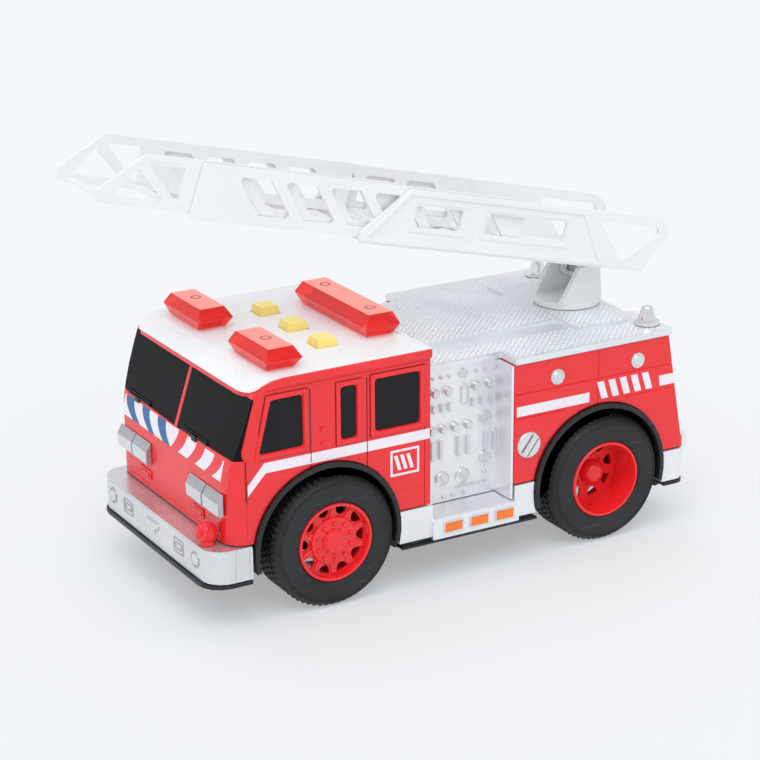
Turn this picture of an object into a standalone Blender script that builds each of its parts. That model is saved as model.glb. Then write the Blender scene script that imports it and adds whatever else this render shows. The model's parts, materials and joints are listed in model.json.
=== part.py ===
"""Toy fire engine with an extending ladder on a turntable.

Sizes are in millimetres and are turned into metres where a mesh is made.
The origin is on the ground, midway along the overall length.
+X points forward, +Y to the vehicle's left and +Z up.
"""

import math

import bmesh
import bpy
from mathutils import Matrix, Vector

MM = 0.001
GAP = 0.3

# Running gear
WHEELBASE = 165.0
FRONT_AXLE_X = 63.0
REAR_AXLE_X = FRONT_AXLE_X - WHEELBASE
TYRE_R = 34.9
TYRE_OUTER_Y = 66.5
TYRE_WIDTH = 27.0
RIM_R = 21.0
AXLE_R = 2.0
AXLE_HOLE_R = 2.4
AXLE_Z = TYRE_R
ARCH_R = 41.8
ARCH_INNER_R = 39.0
LINER_INNER_R = 40.2
ARCH_OFFSET = 4.3
ARCH_Z = 36.9
ARCH_SWEEP = 13.0
ARCH_OUTER_Y = 67.6
ARCH_LIP_Y = 63.0
WELL_INNER_Y = TYRE_OUTER_Y - TYRE_WIDTH - 3.0

# Body
HALF_WIDTH = 65.5
WALL = 2.6
SILL_Z = 44.0
BASE_Z = 20.5
BASE_TOP_Z = 25.3
LIP_Z = 23.2
LIP_HALF_WIDTH = 66.4
LIP_FRONT_X = 134.4
LIP_REAR_X = -155.0
TRAY_INSET = 8.5
CAB_REAR_X = 7.5
CAB_FRONT_X = 121.5
CAB_TOP_Z = 125.9
BROW_X = 97.0
BROW_Z = 125.6
SCREEN_TOP_X = 107.3
SCREEN_TOP_Z = 121.0
SCREEN_HIGH_Z = 118.6
BELT_Z = 86.0
CORNER_R = 11.0
ROOF_TOP_Z = 127.6
ROOF_FRONT_X = 111.2
ROOF_HALF_WIDTH = 65.3
REAR_BODY_FRONT_X = 7.0
REAR_BODY_STEP_X = -43.3
REAR_BODY_TOP_Z = 109.3
REAR_TOP_X = -141.1
REAR_BOTTOM_X = -152.5
CORE_HALF_WIDTH = 46.0
PANEL_FACE_Y = 50.0
DECK_Z = 113.0
DECK_HALF_WIDTH = 66.6
DECK_REAR_X = -143.5
DECK_NOTCH_X = -138.0
PLATEAU_Z = 114.5
BUMPER_FRONT_X = 133.0
BUMPER_BACK_X = 109.9
BUMPER_TOP_Z = 43.2
BUMPER_BOTTOM_Z = 25.6
BUMPER_SIDE_Y = HALF_WIDTH + 0.7
REAR_BUMPER_X = -153.9
REAR_BUMPER_FRONT_X = -139.0
REAR_LIP_X = -157.2
REAR_LIP_LOW_Z = 40.5
REAR_LIP_TOP_Z = 49.8
SKIRT_FRONT_X = 26.0
SKIRT_REAR_X = -57.0
SKIRT_INNER_Y = 61.0
STEP_FRONT_X = 7.3
STEP_REAR_X = -45.7
STEP_OUTER_Y = 68.1
STEP_TOP_Z = 35.5
STEP_BOTTOM_Z = 23.8
STEP_INNER_Y = 58.0
STEP_FLOOR = 2.5

# Roof buttons
BUTTON_X = 50.1
BUTTON_PITCH = 31.0
BUTTON_HALF = 5.8
BUTTON_TOP_HALF = 5.0
BUTTON_HOLE_HALF = 6.2
BUTTON_TOP_Z = 131.9
BUTTON_FOOT_Z = 120.9
FLANGE_HALF = 8.0
FLANGE_THICKNESS = 1.8
BOARD_Z = 113.6
BOARD_TOP_Z = 115.2
SWITCH_TOP_Z = 118.1
SWITCH_HALF = 3.0

# Ladder
TURNTABLE_X = -120.0
TURNTABLE_R = 18.6
CHEEK_OUTER_Y = 14.4
CHEEK_INNER_Y = 11.0
CHEEK_TOP_Z = 137.0
PIN_END_Y = 13.2
HINGE_X = -127.0
HINGE_Z = 131.0
LADDER_TILT = 13.5
RAIL_THICKNESS = 2.2
BASE_HALF_WIDTH = 30.5
SECTION_STEP = RAIL_THICKNESS + GAP
MIDDLE_HALF_WIDTH = BASE_HALF_WIDTH - SECTION_STEP
FLY_HALF_WIDTH = MIDDLE_HALF_WIDTH - SECTION_STEP
PIN_R = 2.0
PIN_HOLE_R = 2.4
BASE_LOW = 8.1
BASE_HIGH = 38.4
BASE_TAIL = -33.2
BASE_NOSE = 161.5
MIDDLE_LOW = 10.9
MIDDLE_HIGH = 39.0
MIDDLE_TAIL = 63.0
MIDDLE_NOSE = 256.5
FLY_LOW = 13.7
FLY_HIGH = 39.6
FLY_TAIL = 140.0
FLY_NOSE = 305.0
RUNG_DEPTH = 2.0
RUNG_LIFT = 0.5

# Battery box
BOX_REAR_X = -33.0
BOX_FRONT_X = 25.0
BOX_HALF_WIDTH = 26.0
BOX_TOP_Z = 42.0
BOX_WALL = 2.0
BATTERY_R = 7.1
BATTERY_LENGTH = 50.0

RED = (0.72, 0.015, 0.02)
WHITE = (0.86, 0.87, 0.88)
SILVER = (0.66, 0.67, 0.69)
BLACK = (0.015, 0.015, 0.016)
YELLOW = (0.93, 0.68, 0.10)
LENS_RED = (0.85, 0.03, 0.03)
GREEN = (0.02, 0.16, 0.06)
STEEL = (0.55, 0.55, 0.56)


def clear_scene():
    for obj in list(bpy.data.objects):
        bpy.data.objects.remove(obj, do_unlink=True)


def make_collection(name, hidden=False):
    group = bpy.data.collections.new(name)
    bpy.context.scene.collection.children.link(group)
    group.hide_render = hidden
    return group


clear_scene()
PARTS = make_collection("toy_fire_engine")
CUTTERS = make_collection("cutters", hidden=True)
MATERIALS = {}


def material(name, colour, roughness, metallic=0.0):
    made = bpy.data.materials.new(name)
    made.use_nodes = True
    shader = made.node_tree.nodes["Principled BSDF"]
    shader.inputs["Base Color"].default_value = (*colour, 1.0)
    shader.inputs["Roughness"].default_value = roughness
    shader.inputs["Metallic"].default_value = metallic
    made.diffuse_color = (*colour, 1.0)
    return made


def make_materials():
    MATERIALS["red"] = material("red_plastic", RED, 0.28)
    MATERIALS["white"] = material("white_plastic", WHITE, 0.35)
    MATERIALS["silver"] = material("silver_plastic", SILVER, 0.38, 0.6)
    MATERIALS["black"] = material("black_plastic", BLACK, 0.4)
    MATERIALS["glazing"] = material("glossy_black", BLACK, 0.08)
    MATERIALS["rubber"] = material("black_rubber", BLACK, 0.65)
    MATERIALS["yellow"] = material("yellow_plastic", YELLOW, 0.35)
    MATERIALS["lens"] = material("clear_red_plastic", LENS_RED, 0.12)
    MATERIALS["board"] = material("circuit_board", GREEN, 0.5)
    MATERIALS["steel"] = material("plated_steel", STEEL, 0.25, 1.0)


# Outlines --------------------------------------------------------------------


def arc(centre, radius, start, end, steps):
    """Points on a circle, angles in degrees."""
    points = []
    for index in range(steps + 1):
        angle = math.radians(start + (end - start) * index / steps)
        x = centre[0] + radius * math.cos(angle)
        y = centre[1] + radius * math.sin(angle)
        points.append((x, y))
    return points


def fillet(corners, steps=4):
    """An outline whose corners (x, y, radius) are rounded where the radius is over zero."""
    outline = []
    count = len(corners)
    for index, (x, y, radius) in enumerate(corners):
        here = Vector((x, y))
        if radius <= 0:
            outline.append((x, y))
            continue
        before = Vector(corners[index - 1][:2])
        after = Vector(corners[(index + 1) % count][:2])
        to_before = (before - here).normalized()
        to_after = (after - here).normalized()
        half = to_before.angle(to_after) / 2
        reach = radius / math.tan(half)
        middle = here + (to_before + to_after).normalized() * radius / math.sin(half)
        first = here + to_before * reach - middle
        last = here + to_after * reach - middle
        turn = first.angle_signed(last)
        for step in range(steps + 1):
            angle = -turn * step / steps
            spoke = Matrix.Rotation(angle, 2) @ first
            outline.append(tuple(middle + spoke))
    return outline


def rectangle(low_x, high_x, low_y, high_y, radius=0.0):
    corners = [
        (low_x, low_y, radius),
        (high_x, low_y, radius),
        (high_x, high_y, radius),
        (low_x, high_y, radius),
    ]
    return fillet(corners)


def inset(outline, distance):
    """A convex anticlockwise outline with each edge moved inward; a negative distance grows it."""
    edges = []
    count = len(outline)
    for index in range(count):
        start = Vector(outline[index])
        end = Vector(outline[(index + 1) % count])
        along = (end - start).normalized()
        inward = Vector((-along.y, along.x))
        edges.append((start + inward * distance, along))
    points = []
    for index in range(count):
        point, along = edges[index - 1]
        other, other_along = edges[index]
        cross = along.x * other_along.y - along.y * other_along.x
        offset = other - point
        reach = (offset.x * other_along.y - offset.y * other_along.x) / cross
        points.append(tuple(point + along * reach))
    return points


# Solids ----------------------------------------------------------------------

PLANES = {
    "XY": Matrix.Identity(4),
    "XZ": Matrix(((1, 0, 0, 0), (0, 0, -1, 0), (0, 1, 0, 0), (0, 0, 0, 1))),
    "YZ": Matrix(((0, 0, 1, 0), (1, 0, 0, 0), (0, 1, 0, 0), (0, 0, 0, 1))),
}
NORMALS = {"XY": Vector((0, 0, 1)), "XZ": Vector((0, 1, 0)), "YZ": Vector((1, 0, 0))}


def finish_object(obj, colour):
    """Puts the object in the parts with its material, or in the cutters if it has none."""
    if colour is None:
        CUTTERS.objects.link(obj)
        obj.hide_render = True
        obj.display_type = "WIRE"
    else:
        PARTS.objects.link(obj)
        obj.data.materials.append(MATERIALS[colour])
    return obj


def place_origin(mesh, origin):
    mesh.transform(Matrix.Translation(-Vector(origin) * MM))


def plate(name, outlines, plane, low, high, colour=None, origin=(0, 0, 0)):
    """A flat outline, with holes after the first, extruded from low to high across its plane."""
    curve = bpy.data.curves.new(name + "_outline", "CURVE")
    curve.dimensions = "2D"
    curve.fill_mode = "BOTH"
    curve.extrude = (high - low) / 2 * MM
    for outline in outlines:
        spline = curve.splines.new("POLY")
        spline.points.add(len(outline) - 1)
        spline.use_cyclic_u = True
        for point, (x, y) in zip(spline.points, outline):
            point.co = (x * MM, y * MM, 0, 1)
    guide = bpy.data.objects.new(name + "_outline", curve)
    CUTTERS.objects.link(guide)
    graph = bpy.context.evaluated_depsgraph_get()
    mesh = bpy.data.meshes.new_from_object(guide.evaluated_get(graph))
    bpy.data.objects.remove(guide, do_unlink=True)
    weld(mesh)
    middle = NORMALS[plane] * (low + high) / 2 * MM
    mesh.transform(Matrix.Translation(middle) @ PLANES[plane])
    place_origin(mesh, origin)
    mesh.name = name
    obj = bpy.data.objects.new(name, mesh)
    obj.location = Vector(origin) * MM
    return finish_object(obj, colour)


def weld(mesh):
    shape = bmesh.new()
    shape.from_mesh(mesh)
    bmesh.ops.remove_doubles(shape, verts=shape.verts, dist=1e-6)
    bmesh.ops.recalc_face_normals(shape, faces=shape.faces)
    shape.to_mesh(mesh)
    shape.free()


def box(name, low, high, colour=None, origin=(0, 0, 0)):
    """A block between two corners."""
    shape = bmesh.new()
    bmesh.ops.create_cube(shape, size=1.0)
    size = Vector(high) - Vector(low)
    middle = (Vector(high) + Vector(low)) / 2 - Vector(origin)
    bmesh.ops.scale(shape, vec=size * MM, verts=shape.verts)
    bmesh.ops.translate(shape, vec=middle * MM, verts=shape.verts)
    mesh = bpy.data.meshes.new(name)
    shape.to_mesh(mesh)
    shape.free()
    obj = bpy.data.objects.new(name, mesh)
    obj.location = Vector(origin) * MM
    return finish_object(obj, colour)


def rod(name, start, end, radius, colour=None, origin=(0, 0, 0), sides=24, end_radius=None):
    """A cylinder or cone between two points."""
    first = Vector(start)
    along = Vector(end) - first
    last_radius = radius if end_radius is None else end_radius
    shape = bmesh.new()
    bmesh.ops.create_cone(
        shape,
        cap_ends=True,
        segments=sides,
        radius1=radius * MM,
        radius2=last_radius * MM,
        depth=along.length * MM,
    )
    turn = Vector((0, 0, 1)).rotation_difference(along.normalized()).to_matrix().to_4x4()
    middle = (first + along / 2 - Vector(origin)) * MM
    bmesh.ops.transform(shape, matrix=Matrix.Translation(middle) @ turn, verts=shape.verts)
    mesh = bpy.data.meshes.new(name)
    shape.to_mesh(mesh)
    shape.free()
    smooth(mesh)
    obj = bpy.data.objects.new(name, mesh)
    obj.location = Vector(origin) * MM
    return finish_object(obj, colour)


def smooth(mesh):
    mesh.shade_smooth()
    mesh.set_sharp_from_angle(angle=math.radians(35))


def turned(name, profile, axis, origin, colour, steps=40, closed=False):
    """A profile of (radius, height) points, outer side from top to bottom, turned about its axis."""
    mesh = bpy.data.meshes.new(name)
    points = [(radius * MM, 0, height * MM) for radius, height in profile]
    edges = [(index, index + 1) for index in range(len(points) - 1)]
    if closed:
        edges.append((len(points) - 1, 0))
    mesh.from_pydata(points, edges, [])
    obj = bpy.data.objects.new(name, mesh)
    obj.location = Vector(origin) * MM
    obj.rotation_euler = Vector((0, 0, 1)).rotation_difference(Vector(axis)).to_euler()
    screw = obj.modifiers.new("turn", "SCREW")
    screw.axis = "Z"
    screw.steps = steps
    screw.render_steps = steps
    screw.use_merge_vertices = True
    screw.merge_threshold = 0.00001
    screw.use_smooth_shade = True
    return finish_object(obj, colour)


def stacked(name, rings, colour):
    """A lens lofted through rectangles (low x, high x, low y, high y, z) from bottom to top."""
    shape = bmesh.new()
    loops = []
    for low_x, high_x, low_y, high_y, z in rings:
        corners = [(low_x, low_y), (high_x, low_y), (high_x, high_y), (low_x, high_y)]
        loops.append([shape.verts.new((x * MM, y * MM, z * MM)) for x, y in corners])
    for lower, upper in zip(loops, loops[1:]):
        for side in range(4):
            after = (side + 1) % 4
            shape.faces.new((lower[side], lower[after], upper[after], upper[side]))
    shape.faces.new(reversed(loops[0]))
    shape.faces.new(loops[-1])
    mesh = bpy.data.meshes.new(name)
    shape.to_mesh(mesh)
    shape.free()
    return finish_object(bpy.data.objects.new(name, mesh), colour)


def combine(target, other, operation):
    step = target.modifiers.new(operation.lower(), "BOOLEAN")
    step.operation = operation
    step.solver = "EXACT"
    step.object = other
    return target


def cut(target, *cutters):
    for cutter in cutters:
        combine(target, cutter, "DIFFERENCE")
    return target


def join(target, *others):
    for other in others:
        combine(target, other, "UNION")
    return target


def soften(obj, width, segments=2):
    """Rounds the sharp edges."""
    bevel = obj.modifiers.new("edges", "BEVEL")
    bevel.width = width * MM
    bevel.segments = segments
    bevel.limit_method = "ANGLE"
    bevel.angle_limit = math.radians(40)
    return obj


# Cab -------------------------------------------------------------------------

CAB_SIDE = [
    (CAB_REAR_X, SILL_Z),
    (CAB_FRONT_X, SILL_Z),
    (CAB_FRONT_X, BELT_Z - 10),
    (CAB_FRONT_X - 2.8, BELT_Z),
    (SCREEN_TOP_X, SCREEN_TOP_Z),
    (BROW_X, BROW_Z),
    (CAB_REAR_X, CAB_TOP_Z),
]
DOOR_LINES = (112.2, 76.2, 44.3, 11.0)
SIDE_WINDOWS = {
    "door_window": [(97.7, 116.3), (80.8, 116.5), (80.6, 90.4), (105.2, 90.2)],
    "narrow_window": [(58.9, 116.2), (50.6, 116.2), (50.6, 89.4), (58.9, 89.4)],
    "rear_window": [(39.4, 116.8), (14.2, 116.8), (14.2, 90.0), (39.4, 90.0)],
}
PANE_DEPTH = 1.3
LINE_HALF = 0.3


def cab_plan(distance):
    """The cab seen from above, with round front corners, moved inward by a distance."""
    radius = CORNER_R - distance
    front = CAB_FRONT_X - distance
    rear = CAB_REAR_X + distance
    side = HALF_WIDTH - distance
    corners = [(rear, -side, 0), (front, -side, radius), (front, side, radius), (rear, side, 0)]
    return fillet(corners, steps=5)


def cab_block(name, distance, colour=None):
    """The cab's outer shape moved inward by a distance."""
    side = inset(CAB_SIDE, distance)
    block = plate(name, [side], "XZ", -HALF_WIDTH - 5, HALF_WIDTH + 5, colour)
    plan = plate(name + "_plan", [cab_plan(distance)], "XY", SILL_Z - 20, CAB_TOP_Z + 20)
    return combine(block, plan, "INTERSECT")


def side_window_region(name, shape, side, growth):
    corners = [(x, z, 1.5 + growth) for x, z in inset(shape, -growth)]
    low, high = sorted((side * (HALF_WIDTH - 8), side * (HALF_WIDTH + 8)))
    return plate(name, [fillet(corners)], "XZ", low, high)


def windscreen_region(name, side, growth):
    """Half of the windscreen seen from the front, wrapping round the cab's corner."""
    inner = 1.7 - growth
    outer = HALF_WIDTH + 8
    low = BELT_Z + 1.0 - growth
    high = SCREEN_HIGH_Z + growth
    shape = [(inner, low), (outer, low + 1.6), (outer, high), (inner, high)]
    if side < 0:
        shape = [(-y, z) for y, z in reversed(shape)]
    return plate(name, [shape], "YZ", 105.5 - growth, CAB_FRONT_X + 5)


def build_glazing(cab):
    """Black window panes, each let into a pocket of the cab."""
    for side, label in ((1, "left"), (-1, "right")):
        name = "windscreen_" + label
        region = windscreen_region(name + "_region", side, 0.0)
        pocket = windscreen_region(name + "_pocket", side, GAP)
        add_pane(cab, name, region, pocket)
        for kind, shape in SIDE_WINDOWS.items():
            name = kind + "_" + label
            region = side_window_region(name + "_region", shape, side, 0.0)
            pocket = side_window_region(name + "_pocket", shape, side, GAP)
            add_pane(cab, name, region, pocket)


def add_pane(cab, name, region, pocket):
    """A pane cut from the cab's outer layer, and the pocket that takes it."""
    pane = cab_block(name, 0.0, "glazing")
    combine(pane, cab_block(name + "_back", PANE_DEPTH), "DIFFERENCE")
    combine(pane, region, "INTERSECT")
    combine(pocket, cab_block(name + "_floor", PANE_DEPTH + GAP), "DIFFERENCE")
    cut(cab, pocket)


def arch_cutter(name, axle_x):
    """A cylinder that clears the wheel arch across the whole body."""
    centre_x = axle_x + ARCH_OFFSET
    reach = HALF_WIDTH + 12
    start = (centre_x, -reach, ARCH_Z)
    end = (centre_x, reach, ARCH_Z)
    return rod(name, start, end, ARCH_R + GAP, sides=64)


def build_cab():
    cab = cab_block("cab_shell", 0.0, "red")
    hollow = cab_block("cab_hollow", WALL)
    floor_cut = box(
        "cab_open_bottom",
        (CAB_REAR_X + WALL, -HALF_WIDTH + WALL, SILL_Z - 5),
        (CAB_FRONT_X - CORNER_R, HALF_WIDTH - WALL, SILL_Z + WALL + 1),
    )
    cut(cab, hollow, floor_cut, arch_cutter("cab_arch_cut", FRONT_AXLE_X))
    build_glazing(cab)
    for index, x in enumerate(DOOR_LINES):
        for side in (-1, 1):
            low, high = sorted((side * (HALF_WIDTH - 0.5), side * (HALF_WIDTH + 1)))
            name = "door_line_{}_{}".format(index, side + 1)
            low_corner = (x - LINE_HALF, low, SILL_Z - 1)
            high_corner = (x + LINE_HALF, high, SCREEN_HIGH_Z)
            cut(cab, box(name, low_corner, high_corner))
    cut_button_holes(cab, "cab")


def cut_button_holes(panel, prefix):
    """Square holes through a top panel for the three buttons."""
    for index in (-1, 0, 1):
        y = index * BUTTON_PITCH
        low = (BUTTON_X - BUTTON_HOLE_HALF, y - BUTTON_HOLE_HALF, BROW_Z - 5)
        high = (BUTTON_X + BUTTON_HOLE_HALF, y + BUTTON_HOLE_HALF, ROOF_TOP_Z + 5)
        cut(panel, box("{}_button_hole_{}".format(prefix, index + 1), low, high))


def build_roof():
    """The white roof cap, falling over the windscreen to its front edge."""
    rear = CAB_REAR_X - 1.0
    front_low = SCREEN_TOP_Z + GAP
    side = [
        (rear, CAB_TOP_Z + GAP),
        (BROW_X + 0.2, BROW_Z + GAP),
        (SCREEN_TOP_X + 0.2, front_low),
        (ROOF_FRONT_X, front_low),
        (ROOF_FRONT_X, front_low + 1.0),
        (ROOF_FRONT_X - 2.0, front_low + 2.2),
        (BROW_X + 1.0, ROOF_TOP_Z - 0.4),
        (BROW_X - 8.0, ROOF_TOP_Z),
        (rear, ROOF_TOP_Z),
    ]
    roof = plate("cab_roof", [side], "XZ", -HALF_WIDTH - 5, HALF_WIDTH + 5, "white")
    corners = [
        (rear - 1.0, -ROOF_HALF_WIDTH, 0),
        (ROOF_FRONT_X, -ROOF_HALF_WIDTH, CORNER_R),
        (ROOF_FRONT_X, ROOF_HALF_WIDTH, CORNER_R),
        (rear - 1.0, ROOF_HALF_WIDTH, 0),
    ]
    plan = plate("roof_plan", [fillet(corners, 6)], "XY", SCREEN_TOP_Z - 5, ROOF_TOP_Z + 5)
    combine(roof, plan, "INTERSECT")
    cut_button_holes(roof, "roof")
    soften(roof, 0.4)


def square_ring(half, y, z):
    """A square about a button's centre line, for stacked()."""
    return (BUTTON_X - half, BUTTON_X + half, y - half, y + half, z)


def build_buttons():
    """Three push buttons, each with a flange that keeps it under the roof."""
    for index, label in ((1, "left"), (0, "middle"), (-1, "right")):
        y = index * BUTTON_PITCH
        flange_top = BUTTON_FOOT_Z + FLANGE_THICKNESS
        rings = [
            square_ring(FLANGE_HALF, y, BUTTON_FOOT_Z),
            square_ring(FLANGE_HALF, y, flange_top),
            square_ring(BUTTON_HALF, y, flange_top + 0.2),
            square_ring(BUTTON_HALF, y, ROOF_TOP_Z),
            square_ring(BUTTON_TOP_HALF, y, BUTTON_TOP_Z),
        ]
        soften(stacked("button_" + label, rings, "yellow"), 0.5)


# Each lens: half lengths and front and rear edges at its foot, waist and top.
BAR_LEVELS = ((34.2, 10.8, 26.3, 0.0), (38.3, 8.6, 28.8, 5.6), (35.1, 11.4, 25.6, 11.7))
LIGHT_LEVELS = ((16.6, 78.0, 94.0, 0.0), (20.8, 75.8, 96.0, 5.2), (17.5, 79.2, 93.1, 10.8))
LIGHT_Y = 37.4


def lens_rings(levels, middle):
    """Rings for stacked() from a lens's levels, standing on the roof."""
    rings = []
    for half, rear, front, rise in levels:
        z = ROOF_TOP_Z + GAP + rise
        rings.append((rear, front, middle - half, middle + half, z))
    return rings


def build_lights():
    stacked("rear_light_bar", lens_rings(BAR_LEVELS, 0.0), "lens")
    stacked("front_light_left", lens_rings(LIGHT_LEVELS, LIGHT_Y), "lens")
    stacked("front_light_right", lens_rings(LIGHT_LEVELS, -LIGHT_Y), "lens")


SIREN_PROFILE = (
    (0, 11.2),
    (2.2, 10.8),
    (4.0, 9.6),
    (5.1, 7.8),
    (5.5, 5.6),
    (5.1, 3.6),
    (4.3, 2.0),
    (4.3, 0),
    (0, 0),
)
SIREN_PLACE = (127.4, 51.5, BUMPER_TOP_Z + GAP)


def build_front_details():
    for side, label in ((1, "left"), (-1, "right")):
        low_y, high_y = sorted((side * 23.4, side * 59.2))
        low = (CAB_FRONT_X + GAP, low_y, 58.6)
        high = (CAB_FRONT_X + 3.4, high_y, 70.2)
        soften(box("headlight_" + label, low, high, "silver"), 0.9)
    turned("siren", SIREN_PROFILE, (0, 0, 1), SIREN_PLACE, "red", 24)


# Rear body -------------------------------------------------------------------


def rear_plan(distance):
    """The rear body seen from above: full width behind, narrower between the pump panels."""
    side = HALF_WIDTH - distance
    core = CORE_HALF_WIDTH - distance
    rear = REAR_BOTTOM_X - 5
    step = REAR_BODY_STEP_X - distance
    front = REAR_BODY_FRONT_X - distance
    return [
        (rear, -side),
        (step, -side),
        (step, -core),
        (front, -core),
        (front, core),
        (step, core),
        (step, side),
        (rear, side),
    ]


def rear_block(name, distance, colour=None):
    side = [
        (REAR_BOTTOM_X, SILL_Z),
        (REAR_BODY_FRONT_X + 5, SILL_Z),
        (REAR_BODY_FRONT_X + 5, REAR_BODY_TOP_Z),
        (REAR_TOP_X, REAR_BODY_TOP_Z),
    ]
    block = plate(name, [inset(side, distance)], "XZ", -HALF_WIDTH - 5, HALF_WIDTH + 5, colour)
    plan = plate(name + "_plan", [rear_plan(distance)], "XY", 0, REAR_BODY_TOP_Z + 20)
    return combine(block, plan, "INTERSECT")


BODY_GROOVES = (
    (-160.0, REAR_BODY_STEP_X + 1, 92.7, 93.3),
    (-75.0, REAR_BODY_STEP_X + 1, 79.2, 79.8),
    (-160.0, -113.9, 79.2, 79.8),
    (-96.0, -95.4, 78.0, REAR_BODY_TOP_Z - 1),
)


def build_rear_body():
    body = rear_block("rear_body", 0.0, "red")
    hollow = rear_block("rear_hollow", WALL)
    open_bottom = box(
        "rear_open_bottom",
        (REAR_BOTTOM_X + WALL + 1, -CORE_HALF_WIDTH + WALL, SILL_Z - 5),
        (REAR_BODY_FRONT_X - WALL, CORE_HALF_WIDTH - WALL, SILL_Z + WALL + 1),
    )
    cut(body, hollow, open_bottom, arch_cutter("rear_arch_cut", REAR_AXLE_X))
    for index, (low_x, high_x, low_z, high_z) in enumerate(BODY_GROOVES):
        for side in (-1, 1):
            low_y, high_y = sorted((side * (HALF_WIDTH - 0.5), side * (HALF_WIDTH + 1)))
            name = "body_line_{}_{}".format(index, side + 1)
            cut(body, box(name, (low_x, low_y, low_z), (high_x, high_y, high_z)))


def build_deck():
    """The top plate, notched over the pump panels and at the tail, with a raised middle."""
    notch_y = PANEL_FACE_Y + 2.0
    bottom = REAR_BODY_TOP_Z + GAP
    front = CAB_REAR_X - 1.0 - GAP
    outline = fillet(
        [
            (DECK_REAR_X, -DECK_HALF_WIDTH, 2.5),
            (REAR_BODY_STEP_X, -DECK_HALF_WIDTH, 0.8),
            (REAR_BODY_STEP_X, -notch_y, 1.0),
            (front, -notch_y, 0),
            (front, notch_y, 0),
            (REAR_BODY_STEP_X, notch_y, 1.0),
            (REAR_BODY_STEP_X, DECK_HALF_WIDTH, 0.8),
            (DECK_REAR_X, DECK_HALF_WIDTH, 2.5),
            (DECK_REAR_X, 31.0, 2.0),
            (DECK_NOTCH_X, 28.5, 2.0),
            (DECK_NOTCH_X, -28.5, 2.0),
            (DECK_REAR_X, -31.0, 2.0),
        ],
        3,
    )
    deck = plate("deck", [outline], "XY", bottom, DECK_Z, "silver")
    plateau = [
        (-137.0, -27.0),
        (-128.0, -45.0),
        (-97.0, -45.0),
        (-97.0, -25.0),
        (front - 4, -25.0),
        (front - 4, 25.0),
        (-97.0, 25.0),
        (-97.0, 45.0),
        (-128.0, 45.0),
        (-137.0, 27.0),
    ]
    join(deck, plate("deck_plateau", [plateau], "XY", DECK_Z - 1, PLATEAU_Z))
    start = (TURNTABLE_X, 0, bottom - 5)
    end = (TURNTABLE_X, 0, PLATEAU_Z + 5)
    cut(deck, rod("turntable_hole", start, end, 6.5, sides=32))


def build_beacons():
    base = DECK_Z + GAP
    profile = [(0, 9.6), (2.6, 9.4), (3.2, 8.8), (4.9, 2.6), (6.7, 2.0), (6.9, 1.2), (6.9, 0), (0, 0)]
    for side, label in ((1, "left"), (-1, "right")):
        turned("beacon_" + label, profile, (0, 0, 1), (-135.9, side * 52.6, base), "steel", 24)


# Lower trim ------------------------------------------------------------------


def bumper(name, outer, inner, top, colour):
    """A trim moulding open underneath."""
    shell = soften(plate(name, [outer], "XY", BUMPER_BOTTOM_Z, top, colour), 1.2)
    return cut(shell, plate(name + "_hollow", [inner], "XY", BUMPER_BOTTOM_Z - 3, top - WALL))


def build_bumpers():
    side = BUMPER_SIDE_Y
    outer = fillet(
        [
            (BUMPER_BACK_X, -side, 0),
            (BUMPER_FRONT_X, -side, 12.0),
            (BUMPER_FRONT_X, side, 12.0),
            (BUMPER_BACK_X, side, 0),
        ],
        6,
    )
    inner = rectangle(BUMPER_BACK_X + WALL, BUMPER_FRONT_X - WALL - 3, -side + 6, side - 6)
    bumper("front_bumper", outer, inner, BUMPER_TOP_Z, "silver")
    outer = fillet(
        [
            (REAR_BUMPER_X, -side, 5.0),
            (REAR_BUMPER_FRONT_X, -side, 0),
            (REAR_BUMPER_FRONT_X, side, 0),
            (REAR_BUMPER_X, side, 5.0),
        ],
        4,
    )
    inner = rectangle(REAR_BUMPER_X + WALL, REAR_BUMPER_FRONT_X - WALL, -side + 4, side - 4)
    rear = bumper("rear_bumper", outer, inner, BUMPER_TOP_Z, "silver")
    lip = rectangle(REAR_LIP_X, REAR_BUMPER_X + 0.9, -side + 2, side - 2, 1.3)
    join(rear, plate("rear_lip", [lip], "XY", REAR_LIP_LOW_Z, REAR_LIP_TOP_Z))
    cut(rear, arch_cutter("rear_bumper_arch_cut", REAR_AXLE_X))


def build_side_trim():
    """Skirts joined by a step box and its floor, and the pump panel above, on each side."""
    for side, label in ((1, "left"), (-1, "right")):
        low_y, high_y = sorted((side * STEP_INNER_Y, side * STEP_OUTER_Y))
        low = (STEP_REAR_X, low_y, STEP_BOTTOM_Z)
        high = (STEP_FRONT_X, high_y, STEP_TOP_Z)
        step = soften(box("side_step_" + label, low, high, "silver"), 0.8)
        low_y, high_y = sorted((side * SKIRT_INNER_Y, side * BUMPER_SIDE_Y))
        skirts = ((REAR_BODY_STEP_X - 0.4, SKIRT_REAR_X), (SKIRT_FRONT_X, STEP_FRONT_X - 1.0))
        for index, ends in enumerate(skirts):
            low_x, high_x = sorted(ends)
            low = (low_x, low_y, BUMPER_BOTTOM_Z)
            high = (high_x, high_y, BUMPER_TOP_Z)
            join(step, box("skirt_{}_{}".format(label, index + 1), low, high))
        low_y, high_y = sorted((side * (CORE_HALF_WIDTH + GAP), side * (STEP_INNER_Y + 1.5)))
        low = (REAR_BODY_STEP_X + GAP, low_y, STEP_TOP_Z - STEP_FLOOR)
        high = (REAR_BODY_FRONT_X - 0.5, high_y, STEP_TOP_Z)
        join(step, box("step_floor_" + label, low, high))
        cut(step, arch_cutter("step_front_cut_" + label, FRONT_AXLE_X))
        cut(step, arch_cutter("step_rear_cut_" + label, REAR_AXLE_X))
        build_pump_panel(side, label)


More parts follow.
